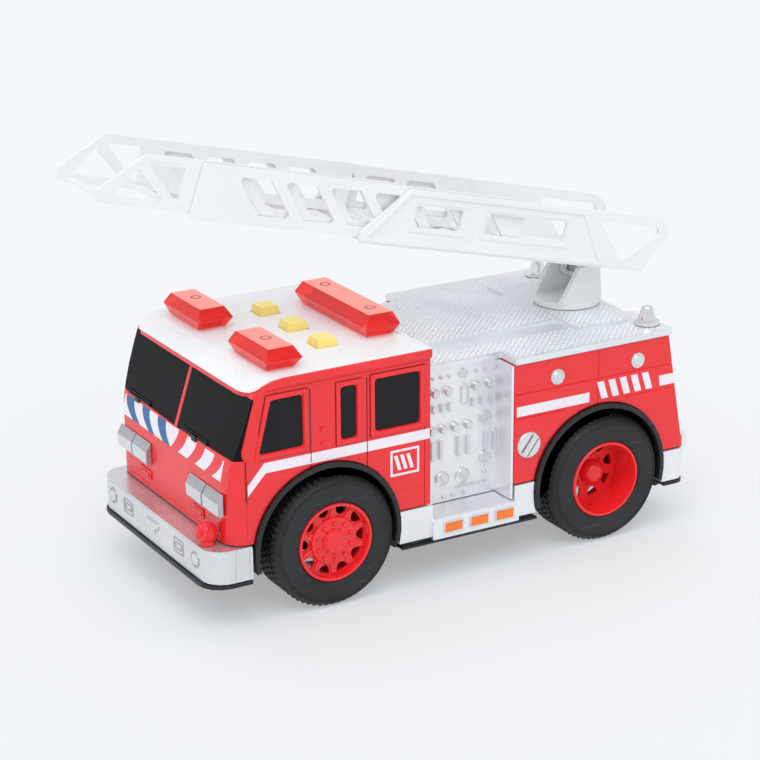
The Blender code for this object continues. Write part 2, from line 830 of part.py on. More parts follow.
def build_pump_panel(side, label):
    back = CORE_HALF_WIDTH + GAP
    rear = REAR_BODY_STEP_X + GAP
    front = REAR_BODY_FRONT_X
    outline = [
        (rear, back),
        (front, back),
        (front, PANEL_FACE_Y),
        (rear + 1.8, PANEL_FACE_Y),
        (rear + 1.8, HALF_WIDTH),
        (rear, HALF_WIDTH),
    ]
    if side < 0:
        outline = [(x, -y) for x, y in reversed(outline)]
    plate("pump_panel_" + label, [outline], "XY", STEP_TOP_Z + GAP, REAR_BODY_TOP_Z, "silver")


# Chassis and what it carries -------------------------------------------------


def build_chassis():
    """The black base: a thin rim, a tray below it, axle bearings, battery box and wheel cut-outs."""
    half = LIP_HALF_WIDTH
    corners = [
        (LIP_REAR_X, -half, 6.0),
        (LIP_FRONT_X, -half, 13.0),
        (LIP_FRONT_X, half, 13.0),
        (LIP_REAR_X, half, 6.0),
    ]
    chassis = plate("chassis", [fillet(corners)], "XY", LIP_Z, BASE_TOP_Z, "black")
    tray = rectangle(
        LIP_REAR_X + TRAY_INSET,
        LIP_FRONT_X - TRAY_INSET,
        TRAY_INSET - half,
        half - TRAY_INSET,
        5.0,
    )
    join(chassis, plate("chassis_tray", [tray], "XY", BASE_Z, BASE_TOP_Z - 1.0))
    for end, axle_x in (("front", FRONT_AXLE_X), ("rear", REAR_AXLE_X)):
        for side in (-1, 1):
            low_y, high_y = sorted((side * WELL_INNER_Y, side * 80))
            centre = axle_x + ARCH_OFFSET
            low = (centre - ARCH_R - 1, low_y, BASE_Z - 5)
            high = (centre + ARCH_R + 1, high_y, BASE_TOP_Z + 5)
            cut(chassis, box("{}_well_{}".format(end, side + 1), low, high))
        low = (axle_x - 6, -WELL_INNER_Y + 3, BASE_TOP_Z - 1)
        high = (axle_x + 6, WELL_INNER_Y - 3, AXLE_Z + 6)
        join(chassis, box(end + "_bearing", low, high))
        start = (axle_x, -60, AXLE_Z)
        finish = (axle_x, 60, AXLE_Z)
        cut(chassis, rod(end + "_bearing_hole", start, finish, AXLE_HOLE_R))
    for side in (-1, 1):
        low_y, high_y = sorted((side * 57.5, side * 75))
        low = (STEP_REAR_X - 1, low_y, BASE_Z - 5)
        high = (STEP_FRONT_X + 1, high_y, BASE_TOP_Z + 5)
        cut(chassis, box("step_clearance_{}".format(side + 1), low, high))
    low = (BOX_REAR_X, -BOX_HALF_WIDTH, BASE_TOP_Z - 1)
    high = (BOX_FRONT_X, BOX_HALF_WIDTH, BOX_TOP_Z)
    join(chassis, box("battery_box", low, high))
    low = (BOX_REAR_X + BOX_WALL, -BOX_HALF_WIDTH + BOX_WALL, BASE_Z - 5)
    high = (BOX_FRONT_X - BOX_WALL, BOX_HALF_WIDTH - BOX_WALL, BOX_TOP_Z - BOX_WALL)
    cut(chassis, box("battery_room", low, high))
    cut(chassis, box("switch_slot", (35.0, 11.0, BASE_Z - 5), (49.0, 19.0, BASE_TOP_Z + 5)))
    for index, (x, y) in enumerate(SCREW_PLACES):
        start = (x, y, BASE_Z - 5)
        end = (x, y, BASE_TOP_Z + 5)
        cut(chassis, rod("screw_hole_{}".format(index + 1), start, end, 1.9, sides=16))


SCREW_PLACES = ((117.0, 36.0), (117.0, -36.0), (-148.0, 36.0), (-148.0, -36.0))


def screw(name, x, y, head_z, length):
    """A round-headed screw, head down, with a crossed drive."""
    profile = [
        (0, length),
        (1.4, length - 2.0),
        (1.4, 1.5),
        (3.0, 1.4),
        (2.4, 0.0),
        (0, 0),
    ]
    piece = turned(name, profile, (0, 0, 1), (x, y, head_z - 1.6), "steel", 12)
    depth = 0.9
    for index, (half_x, half_y) in enumerate(((1.6, 0.35), (0.35, 1.6))):
        low = (x - half_x, y - half_y, head_z - 3)
        high = (x + half_x, y + half_y, head_z - 1.6 + depth)
        cut(piece, box("{}_drive_{}".format(name, index + 1), low, high))
    return piece


def build_fasteners():
    for index, (x, y) in enumerate(SCREW_PLACES):
        screw("chassis_screw_{}".format(index + 1), x, y, BASE_Z - GAP, 12.0)


def build_power():
    """Battery cover, cells, circuit board, speaker and the slide switch under the tray."""
    margin = BOX_WALL + GAP
    low = (BOX_REAR_X + margin, -BOX_HALF_WIDTH + margin, BASE_Z)
    high = (BOX_FRONT_X - margin, BOX_HALF_WIDTH - margin, BASE_Z + 2.2)
    cover = box("battery_cover", low, high, "black")
    for index in range(3):
        x = 10.0 + index * 3.0
        low = (x, -8.0, BASE_Z - 1)
        high = (x + 1.2, 8.0, BASE_Z + 0.8)
        cut(cover, box("cover_grip_{}".format(index + 1), low, high))
    middle_x = (BOX_REAR_X + BOX_FRONT_X) / 2
    start_x = middle_x - BATTERY_LENGTH / 2
    z = BASE_Z + 2.2 + 1.0 + BATTERY_R
    for index, y in enumerate((-15.0, 0.0, 15.0)):
        body_end = start_x + BATTERY_LENGTH - 1.5
        name = "battery_{}".format(index + 1)
        cell = rod(name, (start_x, y, z), (body_end, y, z), BATTERY_R, "steel", sides=20)
        tip_start = (body_end - 1, y, z)
        tip_end = (body_end + 1.2, y, z)
        join(cell, rod(name + "_tip", tip_start, tip_end, 2.6, sides=16))
    board = box("circuit_board", (30.0, -50.0, BOARD_Z), (72.0, 50.0, BOARD_TOP_Z), "board")
    for index in (-1, 0, 1):
        y = index * BUTTON_PITCH
        low = (BUTTON_X - SWITCH_HALF, y - SWITCH_HALF, BOARD_TOP_Z - 0.5)
        high = (BUTTON_X + SWITCH_HALF, y + SWITCH_HALF, SWITCH_TOP_Z)
        join(board, box("tact_switch_{}".format(index + 1), low, high))
    profile = [(0, 7.0), (8.0, 7.0), (9.5, 4.0), (19.0, 1.6), (19.0, 0), (0, 0)]
    turned("speaker", profile, (0, 0, 1), (50.0, 0, 96.0), "black", 32)
    low = (36.0, 11.4, BASE_Z - 1.2)
    high = (43.0, 18.6, BASE_TOP_Z - 1.0)
    soften(box("power_switch", low, high, "black", (39.5, 15.0, BASE_Z)), 0.4)


def build_arches():
    """Wheel arch flares, each in one piece with the liner behind it."""
    first = -ARCH_SWEEP
    last = 180.0 + ARCH_SWEEP
    for end, axle_x in (("front", FRONT_AXLE_X), ("rear", REAR_AXLE_X)):
        centre = (axle_x + ARCH_OFFSET, ARCH_Z)
        outer = arc(centre, ARCH_R, first, last, ARCH_STEPS)
        flare_inner = arc(centre, ARCH_INNER_R, last, first, ARCH_STEPS)
        liner_inner = arc(centre, LINER_INNER_R, last, first, ARCH_STEPS)
        for side, label in ((1, "left"), (-1, "right")):
            name = "wheel_arch_{}_{}".format(end, label)
            low, high = sorted((side * ARCH_LIP_Y, side * ARCH_OUTER_Y))
            flare = plate(name, [outer + flare_inner], "XZ", low, high, "black")
            low, high = sorted((side * WELL_INNER_Y, side * (ARCH_LIP_Y + 0.5)))
            join(flare, plate(name + "_liner", [outer + liner_inner], "XZ", low, high))


ARCH_STEPS = 22
TYRE_PROFILE = (
    (RIM_R + GAP, 26.2),
    (24.0, 27.0),
    (29.5, 26.8),
    (33.6, 24.0),
    (TYRE_R, 20.5),
    (TYRE_R, 6.5),
    (33.0, 2.2),
    (29.0, 0.0),
    (RIM_R + GAP, 0.8),
)
FRONT_RIM_PROFILE = (
    (AXLE_HOLE_R, 26.4),
    (6.0, 26.0),
    (6.4, 23.6),
    (10.2, 23.6),
    (18.0, 22.0),
    (19.4, 26.2),
    (RIM_R, 26.2),
    (RIM_R, 1.0),
    (18.6, 1.0),
    (18.0, 18.5),
    (7.0, 18.5),
    (6.2, 4.0),
    (AXLE_HOLE_R, 4.0),
)
REAR_RIM_PROFILE = (
    (AXLE_HOLE_R, 16.0),
    (5.0, 15.6),
    (5.2, 12.4),
    (8.6, 12.0),
    (9.4, 9.0),
    (16.2, 8.6),
    (18.4, 14.0),
    (19.2, 26.2),
    (RIM_R, 26.2),
    (RIM_R, 1.0),
    (18.6, 1.0),
    (17.4, 5.8),
    (AXLE_HOLE_R, 5.8),
)


def build_wheel(end, side, label, axle_x):
    """A tyre and its rim; the profile's height is the distance from the tyre's inner face."""
    inner_y = side * (TYRE_OUTER_Y - TYRE_WIDTH)
    origin = (axle_x, inner_y, AXLE_Z)
    axis = (0, side, 0)
    turned("{}_tyre_{}".format(end, label), TYRE_PROFILE, axis, origin, "rubber", 32, closed=True)
    profile = FRONT_RIM_PROFILE if end == "front" else REAR_RIM_PROFILE
    name = "{}_rim_{}".format(end, label)
    rim = turned(name, profile, axis, origin, "red", 24, closed=True)
    count = 10 if end == "front" else 8
    ring = 13.9 if end == "front" else 12.9
    for index in range(count):
        angle = 2 * math.pi * index / count
        x = axle_x + ring * math.cos(angle)
        z = AXLE_Z + ring * math.sin(angle)
        start = (x, inner_y + side * 2, z)
        finish = (x, inner_y + side * 30, z)
        hole = rod("{}_hole_{}".format(name, index + 1), start, finish, 2.5, sides=6)
        cut(rim, hole)


def build_running_gear():
    for end, axle_x in (("front", FRONT_AXLE_X), ("rear", REAR_AXLE_X)):
        for side, label in ((1, "left"), (-1, "right")):
            build_wheel(end, side, label, axle_x)
        reach = TYRE_OUTER_Y - TYRE_WIDTH + 13
        start = (axle_x, -reach, AXLE_Z)
        finish = (axle_x, reach, AXLE_Z)
        rod(end + "_axle", start, finish, AXLE_R, "steel", (axle_x, 0, AXLE_Z))


# Ladder ----------------------------------------------------------------------


def ladder_frame():
    """An empty on the hinge; its X runs up the ladder and its Z away from the rails' bottom."""
    frame = bpy.data.objects.new("ladder_hinge_axis", None)
    PARTS.objects.link(frame)
    frame.location = (HINGE_X * MM, 0, HINGE_Z * MM)
    frame.rotation_euler = (0, -math.radians(LADDER_TILT), 0)
    return frame


def on_ladder(obj, frame):
    obj.parent = frame
    return obj


def rail(name, outlines, half_width, side, frame, colour=None):
    low, high = sorted((side * half_width, side * (half_width - RAIL_THICKNESS)))
    return on_ladder(plate(name, outlines, "XZ", low, high, colour), frame)


def rung(name, x, z, half_width, frame, width=4.0):
    """A crossbar that joins the two rails."""
    reach = half_width - RAIL_THICKNESS / 2
    low = (x - width / 2, -reach, z + RUNG_LIFT)
    high = (x + width / 2, reach, z + RUNG_LIFT + RUNG_DEPTH)
    return on_ladder(box(name, low, high), frame)


def build_section(name, outlines, half_width, rungs, frame):
    """A ladder section: two pierced side rails joined by crossbars (distance, height, width)."""
    section = rail(name, outlines, half_width, 1, frame, "white")
    for index, (x, z, width) in enumerate(rungs):
        bar = rung("{}_rung_{}".format(name, index + 1), x, z, half_width, frame, width)
        if index == 0:
            far = rail(name + "_far_rail", outlines, half_width, -1, frame)
            join(bar, far)
        join(section, bar)
    return section


def window(points, radius=1.2):
    """A hole with round corners in a rail."""
    return fillet([(x, z, radius) for x, z in points], 2)


def base_outlines():
    low = BASE_LOW
    high = BASE_HIGH
    outer = fillet(
        [
            (-19.0, low, 3.0),
            (BASE_NOSE, low, 1.0),
            (BASE_NOSE - 0.5, low + 6.0, 2.0),
            (BASE_NOSE - 25.0, high, 3.0),
            (-24.0, high, 4.0),
            (BASE_TAIL, high - 6.0, 3.0),
        ],
        3,
    )
    tail_loop = window([(-4.0, low + 4.5), (15.5, high - 5.4), (-24.5, high - 5.4), (-25.5, high - 9)], 1.5)
    rear_window = window([(36.5, low + 11), (88.0, low + 11), (88.0, high - 8), (36.5, high - 8)])
    front_window = window([(103.0, low + 11), (131.5, low + 11), (131.5, high - 8), (103.0, high - 8)])
    return [outer, tail_loop, rear_window, front_window]


STRUT_WIDTH = 7.0
STRUT_LEAN = 15.0


def strut_windows(low, high, start, end, count):
    """Slanted openings between struts that lean back towards the bottom."""
    holes = []
    pitch = (end - start) / count
    for index in range(count):
        left = start + pitch * index
        right = left + pitch - STRUT_WIDTH
        lean = STRUT_LEAN
        points = [(left, low), (right, low), (right + lean, high), (left + lean, high)]
        holes.append(window(points, 1.5))
    return holes


def middle_outlines():
    low = MIDDLE_LOW
    high = MIDDLE_HIGH
    outer = fillet(
        [
            (MIDDLE_TAIL, low, 1.0),
            (MIDDLE_NOSE, low, 2.0),
            (MIDDLE_NOSE - 3.0, high, 2.0),
            (MIDDLE_TAIL, high, 1.0),
        ],
        3,
    )
    return [outer] + strut_windows(low + 5, high - 5, MIDDLE_TAIL + 9, MIDDLE_NOSE - 30, 6)


def fly_outlines():
    low = FLY_LOW
    high = FLY_HIGH
    outer = fillet(
        [
            (FLY_TAIL, low, 1.0),
            (FLY_NOSE, low, 2.5),
            (FLY_NOSE, low + 7.0, 3.0),
            (FLY_NOSE - 22.0, high, 2.5),
            (FLY_TAIL, high, 1.0),
        ],
        3,
    )
    upper = window([(282.0, high - 4.5), (262.0, high - 4.5), (262.0, low + 4.5), (264.5, low + 4.5)], 1.0)
    lower = window([(270.0, low + 4.0), (298.0, low + 4.0), (287.0, high - 7.5)], 1.0)
    holes = strut_windows(low + 5, high - 5, FLY_TAIL + 8, 244.0, 4)
    return [outer, upper, lower] + holes


def build_ladder():
    frame = ladder_frame()
    rungs = [(x, BASE_LOW, 4.0) for x in (-14.0, 52.0, 76.0, 104.0, 132.0, 156.0)]
    rungs.append((18.0, BASE_LOW, 46.0))
    base = build_section("ladder_base", base_outlines(), BASE_HALF_WIDTH, rungs, frame)
    for side in (-1, 1):
        low, high = sorted((side * 7.0, side * 10.4))
        lug = plate("base_lug_{}".format(side + 1), [lug_outline()], "XZ", low, high)
        join(base, on_ladder(lug, frame))
    hole = rod("base_pin_hole", (0, -30, 0), (0, 30, 0), PIN_HOLE_R)
    cut(base, on_ladder(hole, frame))
    rungs = [(x, MIDDLE_LOW, 4.0) for x in (70.0, 100.0, 130.0, 160.0, 190.0, 220.0, 250.0)]
    build_section("ladder_middle", middle_outlines(), MIDDLE_HALF_WIDTH, rungs, frame)
    rungs = [(x, FLY_LOW, 4.0) for x in (147.0, 177.0, 207.0, 237.0, 262.0, 298.0)]
    build_section("ladder_fly", fly_outlines(), FLY_HALF_WIDTH, rungs, frame)
    start = (HINGE_X, -PIN_END_Y, HINGE_Z)
    end = (HINGE_X, PIN_END_Y, HINGE_Z)
    rod("ladder_pin", start, end, PIN_R, "steel", (HINGE_X, 0, HINGE_Z))


def lug_outline():
    """A hanging ear with a round lower end about the pin."""
    ear = arc((0, 0), 4.8, 180, 360, 10)
    return ear + [(9.0, BASE_LOW + 1.4), (-9.0, BASE_LOW + 1.4)]


def build_turntable():
    """Disc with a pivot below it and two cheeks that hold the ladder's pin in blind sockets."""
    base = PLATEAU_Z + GAP
    profile = [(0, 3.2), (16.0, 3.2), (TURNTABLE_R, 2.2), (TURNTABLE_R, 0), (6.0, 0), (6.0, -4.2), (0, -4.2)]
    origin = (TURNTABLE_X, 0, base)
    table = turned("turntable", profile, (0, 0, 1), origin, "white", 40)
    top = base + 2.6
    outline = fillet(
        [
            (-106.8, top, 0),
            (-118.5, CHEEK_TOP_Z, 2.5),
            (-131.8, CHEEK_TOP_Z, 2.5),
            (-133.2, top, 0),
        ]
    )
    for side in (-1, 1):
        low, high = sorted((side * CHEEK_INNER_Y, side * CHEEK_OUTER_Y))
        join(table, plate("cheek_{}".format(side + 1), [outline], "XZ", low, high))
    web = plate("cheek_web", [rectangle(-132.8, -130.4, top, top + 8.6)], "XZ", -12, 12)
    join(table, web)
    reach = PIN_END_Y + 0.2
    start = (HINGE_X, -reach, HINGE_Z)
    end = (HINGE_X, reach, HINGE_Z)
    cut(table, rod("cheek_pin_hole", start, end, PIN_HOLE_R))


make_materials()
build_cab()
build_roof()
build_buttons()
build_lights()
build_front_details()
build_rear_body()
build_deck()
build_beacons()
build_bumpers()
build_side_trim()
build_chassis()
build_fasteners()
build_power()
build_arches()
build_running_gear()
build_ladder()
build_turntable()
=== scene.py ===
import json
from math import atan2, cos, hypot, pi, radians, sin

import bmesh
import bpy
from mathutils import Matrix, Vector


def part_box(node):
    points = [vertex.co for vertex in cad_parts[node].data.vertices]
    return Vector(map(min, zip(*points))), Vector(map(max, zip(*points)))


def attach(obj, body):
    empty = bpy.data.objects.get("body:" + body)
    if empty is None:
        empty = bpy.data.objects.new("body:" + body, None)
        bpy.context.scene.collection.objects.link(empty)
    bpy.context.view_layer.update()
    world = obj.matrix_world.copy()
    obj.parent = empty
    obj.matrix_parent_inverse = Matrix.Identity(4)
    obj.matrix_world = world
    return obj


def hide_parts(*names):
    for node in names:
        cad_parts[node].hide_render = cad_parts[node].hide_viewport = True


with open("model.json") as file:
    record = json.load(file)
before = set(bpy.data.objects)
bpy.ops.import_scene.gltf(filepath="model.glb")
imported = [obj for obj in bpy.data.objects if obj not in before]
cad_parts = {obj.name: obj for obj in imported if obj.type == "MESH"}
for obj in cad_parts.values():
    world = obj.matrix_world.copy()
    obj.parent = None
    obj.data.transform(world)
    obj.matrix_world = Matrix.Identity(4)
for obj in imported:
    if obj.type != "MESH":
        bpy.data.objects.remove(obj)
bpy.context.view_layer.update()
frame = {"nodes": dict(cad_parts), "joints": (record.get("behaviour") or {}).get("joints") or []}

# Lengths below are in millimetres unless a name says otherwise.
MM = 0.001
JOINTS = {joint["name"]: joint for joint in frame["joints"]}
MATERIALS = {}
SIDES = ((1, "left"), (-1, "right"))


def corner(node, which):
    """A CAD node's lowest (0) or highest (1) corner in millimetres."""
    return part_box(node)[which] / MM


def box_of(node):
    """A CAD node's lowest and highest corners in millimetres."""
    return corner(node, 0), corner(node, 1)


def span(side, near, far):
    """Two distances from the middle as ordered Y values on one side of the vehicle."""
    return sorted((side * near, side * far))


CAB_LOW, CAB_HIGH = box_of("cab_shell")
BODY_LOW, BODY_HIGH = box_of("rear_body")
DECK_LOW, DECK_HIGH = box_of("deck")
BUMPER_LOW, BUMPER_HIGH = box_of("front_bumper")
SIDE_Y, FRONT_X = CAB_HIGH.y, CAB_HIGH.x
# How far a laid-on shape stands out of its surface, and how far it reaches in.
PROUD, SINK = 0.14, 0.3


def add_object(name, data):
    """A new object in the scene."""
    made = bpy.data.objects.new(name, data)
    bpy.context.scene.collection.objects.link(made)
    return made


def add_mesh(name, shape, material):
    """A new object made from a bmesh, which is used up."""
    mesh = bpy.data.meshes.new(name)
    shape.to_mesh(mesh)
    shape.free()
    mesh.materials.append(material)
    return add_object(name, mesh)


# Materials


def node(tree, kind, **inputs):
    """A new shader node with the given inputs set."""
    return adjust(tree.nodes.new(kind), **inputs)


def adjust(made, **inputs):
    """Sets a node's inputs by name; an underscore stands for a space."""
    for key, value in inputs.items():
        made.inputs[key.replace("_", " ")].default_value = value
    return made


def link(source, output, target, name):
    """Joins an output of one node to an input of another in the same tree."""
    source.id_data.links.new(source.outputs[output], target.inputs[name])


def ramp(tree, source, low, high, low_at=0.35, high_at=0.65):
    """A colour ramp between two greys or colours, driven by a factor."""
    made = tree.nodes.new("ShaderNodeValToRGB")
    ends = made.color_ramp.elements
    ends[0].position, ends[1].position = low_at, high_at
    ends[0].color = (*low, 1.0) if isinstance(low, tuple) else (low, low, low, 1.0)
    ends[1].color = (*high, 1.0) if isinstance(high, tuple) else (high, high, high, 1.0)
    tree.links.new(source, made.inputs["Fac"])
    return made


def noise(tree, source, output, scale, detail):
    """Noise over the coordinates that another node gives."""
    made = node(tree, "ShaderNodeTexNoise", Scale=scale, Detail=detail)
    link(source, output, made, "Vector")
    return made


def blank_material(name):
    """A new material, its node tree and its shader."""
    made = bpy.data.materials.new(name)
    made.use_nodes = True
    return made, made.node_tree, made.node_tree.nodes["Principled BSDF"]


def moulded(
    name, colour, rough, grain=0.04, grain_scale=900.0, metallic=0.0,
    coat=0.0, mottle=0.08, specular=0.5, scuffs=0.05,
):
    """Moulded or painted plastic: slow colour mottle, uneven gloss, faint scuffs and fine grain."""
    made, tree, shader = blank_material(name)
    place = tree.nodes.new("ShaderNodeTexCoord")
    cloud = noise(tree, place, "Object", 38.0, 4.0)
    dark = tuple(value * (1 - mottle) for value in colour)
    light = tuple(min(1.0, value * (1 + mottle) + 0.001) for value in colour)
    tint = ramp(tree, cloud.outputs["Fac"], dark, light)
    stretch = tree.nodes.new("ShaderNodeMapping")
    adjust(stretch, Rotation=(0.3, 0.5, 0.7), Scale=(60.0, 900.0, 900.0))
    link(place, "Object", stretch, "Vector")
    scratch = noise(tree, stretch, "Vector", 1.0, 3.0)
    scuff = ramp(tree, scratch.outputs["Fac"], 0.0, scuffs, 0.62, 0.78)
    mix = tree.nodes.new("ShaderNodeMix")
    mix.data_type = "RGBA"
    mix.inputs["B"].default_value = (0.8, 0.8, 0.8, 1.0)
    link(scuff, "Color", mix, "Factor")
    link(tint, "Color", mix, "A")
    link(mix, "Result", shader, "Base Color")
    smear = noise(tree, place, "Object", 140.0, 3.0)
    gloss = ramp(tree, smear.outputs["Fac"], max(0.02, rough - 0.04), rough + 0.05)
    link(gloss, "Color", shader, "Roughness")
    speck = noise(tree, place, "Object", grain_scale, 2.0)
    bump = node(tree, "ShaderNodeBump", Strength=grain, Distance=0.0002)
    link(speck, "Fac", bump, "Height")
    link(bump, "Normal", shader, "Normal")
    adjust(shader, Metallic=metallic, Specular_IOR_Level=specular)
    adjust(shader, Coat_Weight=coat, Coat_Roughness=0.08)
    return made


def tinted_lens():
    """Clear red plastic with faint flow marks, a faint painted glow on its sides and a pale painted
    highlight on its flat top.
    """
    colour = (0.95, 0.014, 0.004)
    made = moulded("lens_red", colour, 0.05, grain=0.02, grain_scale=300.0, mottle=0.03)
    tree = made.node_tree
    shader = tree.nodes["Principled BSDF"]
    surface = tree.nodes.new("ShaderNodeNewGeometry")
    split = tree.nodes.new("ShaderNodeSeparateXYZ")
    link(surface, "Normal", split, "Vector")
    # Painted light: emission set by how far each face turns up, a faint red glow on the sides and a
    # pale pinkish highlight on the top faces.
    painted_glow_and_top_highlight = ramp(tree, split.outputs["Z"], (0.05, 0.002, 0.001), (0.46, 0.22, 0.17), 0.93, 0.99)
    link(painted_glow_and_top_highlight, "Color", shader, "Emission Color")
    adjust(shader, Emission_Strength=1.0, Transmission_Weight=0.9, IOR=1.4)
    adjust(shader, Specular_IOR_Level=0.05, Coat_Weight=0.25, Coat_IOR=1.5, Coat_Roughness=0.03)
    return made


FLAKE = 2600.0


def make_materials():
    """Every look by name; FLAKE is the fineness of the grain in silver paint."""
    MATERIALS.update(
        red=moulded("plastic_red", (0.84, 0.018, 0.024), 0.24, grain=0.03, coat=0.15, mottle=0.02),
        white=moulded("plastic_white", (0.86, 0.875, 0.89), 0.34, grain=0.03, mottle=0.012),
        ladder=moulded("plastic_ladder", (0.84, 0.86, 0.87), 0.36, grain=0.03, mottle=0.012),
        silver=moulded(
            "paint_silver", (0.80, 0.83, 0.86), 0.34, grain=0.10, grain_scale=FLAKE,
            metallic=0.6, mottle=0.04
        ),
        trim=moulded(
            "paint_trim", (0.71, 0.735, 0.755), 0.27, grain=0.03, grain_scale=FLAKE,
            metallic=0.75, mottle=0.04
        ),
        panel=moulded(
            "paint_panel", (0.85, 0.875, 0.895), 0.32, grain=0.03, grain_scale=FLAKE,
            metallic=0.7, mottle=0.03
        ),
        lamp_face=moulded(
            "paint_lamp_face", (0.46, 0.46, 0.49), 0.3, grain=0.10, grain_scale=FLAKE,
            metallic=0.6, mottle=0.06
        ),
        black=moulded(
            "plastic_black", (0.012, 0.013, 0.014), 0.38, grain=0.05, mottle=0.15, specular=0.4
        ),
        glazing=moulded(
            "glazing_black", (0.008, 0.008, 0.010), 0.10, grain=0.004, mottle=0.1,
            specular=0.2, scuffs=0.004
        ),
        screen=moulded(
            "glazing_screen", (0.008, 0.008, 0.010), 0.12, grain=0.004, mottle=0.1,
            specular=0.06, scuffs=0.004
        ),
        rubber=moulded(
            "rubber_black", (0.016, 0.018, 0.020), 0.6, grain=0.16, grain_scale=1400.0,
            mottle=0.2, specular=0.4
        ),
        yellow=moulded("plastic_yellow", (0.97, 0.79, 0.22), 0.36, grain=0.05, mottle=0.02),
        lens=tinted_lens(),
        lamp=moulded("lamp_orange", (0.98, 0.16, 0.05), 0.3, grain=0.03),
        chrome=moulded("chrome", (0.80, 0.81, 0.82), 0.10, grain=0.02, metallic=1.0, mottle=0.03),
        board=moulded("board_green", (0.02, 0.16, 0.06), 0.45),
        steel=moulded("steel", (0.56, 0.56, 0.57), 0.26, metallic=1.0),
        decal_white=moulded("decal_white", (0.86, 0.80, 0.86), 0.3, grain=0.02, mottle=0.02),
        decal_blue=moulded("decal_blue", (0.012, 0.13, 0.34), 0.3, grain=0.02, mottle=0.08),
        orange=moulded("reflector_orange", (0.98, 0.20, 0.02), 0.25, grain=0.2, grain_scale=1500.0),
        seam=moulded("seam_dark", (0.16, 0.005, 0.007), 0.5),
        grey=moulded("ring_grey", (0.30, 0.10, 0.11), 0.4),
    )


# Shapes

PLANES = {
    "XY": ((1, 0, 0, 0), (0, 1, 0, 0), (0, 0, 1, 0), (0, 0, 0, 1)),
    "XZ": ((1, 0, 0, 0), (0, 0, -1, 0), (0, 1, 0, 0), (0, 0, 0, 1)),
    "YZ": ((0, 0, 1, 0), (1, 0, 0, 0), (0, 1, 0, 0), (0, 0, 0, 1)),
}
NORMALS = {"XY": Vector((0, 0, 1)), "XZ": Vector((0, 1, 0)), "YZ": Vector((1, 0, 0))}


def slab(shape, outlines, plane, low, high, place=None):
    """Adds an extruded outline, with holes after the first, between two values across its plane."""
    curve = bpy.data.curves.new("outline", "CURVE")
    curve.dimensions = "2D"
    curve.fill_mode = "BOTH"
    curve.extrude = (high - low) / 2
    for outline in outlines:
        spline = curve.splines.new("POLY")
        spline.points.add(len(outline) - 1)
        spline.use_cyclic_u = True
        for point, (x, y) in zip(spline.points, outline):
            point.co = (x, y, 0, 1)
    guide = add_object("outline", curve)
    graph = bpy.context.evaluated_depsgraph_get()
    mesh = bpy.data.meshes.new_from_object(guide.evaluated_get(graph))
    bpy.data.objects.remove(guide, do_unlink=True)
    bpy.data.curves.remove(curve)
    middle = Matrix.Translation(NORMALS[plane] * (low + high) / 2)
    mesh.transform((place or Matrix.Identity(4)) @ middle @ Matrix(PLANES[plane]))
    shape.from_mesh(mesh)
    bpy.data.meshes.remove(mesh)
    bmesh.ops.remove_doubles(shape, verts=shape.verts, dist=1e-4)


def block(shape, low, high, place=None):
    """Adds a box between two corners."""
    made = bmesh.ops.create_cube(shape, size=1.0)["verts"]
    size = Vector(high) - Vector(low)
    middle = (Vector(high) + Vector(low)) / 2
    scale = Matrix.Diagonal((*size, 1.0))
    matrix = (place or Matrix.Identity(4)) @ Matrix.Translation(middle) @ scale
    bmesh.ops.transform(shape, matrix=matrix, verts=made)


def lathe(shape, profile, steps, place, closed=False):
    """Adds a turned profile of (radius, height) about local Z."""
    rings = []
    for radius, height in profile:
        if radius < 1e-6:
            rings.append([shape.verts.new((0, 0, height))])
            continue
        rings.append([shape.verts.new((*point, height)) for point in circle(radius, steps)])
    pairs = list(zip(rings, rings[1:]))
    if closed:
        pairs.append((rings[-1], rings[0]))
    for upper, lower in pairs:
        for step in range(steps):
            after = (step + 1) % steps
            corners = [upper[step % len(upper)], lower[step % len(lower)]]
            if len(lower) > 1:
                corners.append(lower[after])
            if len(upper) > 1:
                corners.append(upper[after])
            if len(corners) > 2:
                shape.faces.new(corners)
    bmesh.ops.transform(shape, matrix=place, verts=[vert for ring in rings for vert in ring])


def outward(side, x, y, z):
    """A matrix that points local Z away from the middle, on one side of the vehicle."""
    return along((0, side, 0), (x, side * y, z))


def skin(shape, rings):
    """Joins rings of vertices into a tube and closes both ends."""
    for lower, upper in zip(rings, rings[1:]):
        for index in range(len(lower)):
            after = (index + 1) % len(lower)
            shape.faces.new((lower[index], lower[after], upper[after], upper[index]))
    shape.faces.new(rings[0][::-1])
    shape.faces.new(rings[-1])


def along(axis, origin):
    """A matrix that puts local Z on an axis at a point."""
    turn = Vector((0, 0, 1)).rotation_difference(Vector(axis)).to_matrix().to_4x4()
    return Matrix.Translation(Vector(origin)) @ turn


def turned(place, degrees, axis):
    """A matrix turned about one of its own axes."""
    return place @ Matrix.Rotation(radians(degrees), 4, axis)


def polar(radius, angle):
    """X and Y of a point at a radius and an angle."""
    return radius * cos(angle), radius * sin(angle)


def turns(count, phase=0.0):
    """Equal angles round a circle, the first of them a share of a step on."""
    return [2 * pi * (index + phase) / count for index in range(count)]


def circle(radius, steps):
    """The outline of a circle about the origin."""
    return [polar(radius, angle) for angle in turns(steps)]


def round_box(low_x, high_x, low_y, high_y, radius, steps=4):
    """The outline of a rectangle with round corners."""
    points = []
    spots = (
        (high_x - radius, high_y - radius, 0), (low_x + radius, high_y - radius, 90),
        (low_x + radius, low_y + radius, 180), (high_x - radius, low_y + radius, 270),
    )
    for x, y, start in spots:
        for step in range(steps + 1):
            angle = radians(start + 90 * step / steps)
            points.append((x + radius * cos(angle), y + radius * sin(angle)))
    return points


def centred_box(x, y, half_x, half_y, radius, steps=4):
    """The outline of a rectangle with round corners about its middle."""
    return round_box(x - half_x, x + half_x, y - half_y, y + half_y, radius, steps)


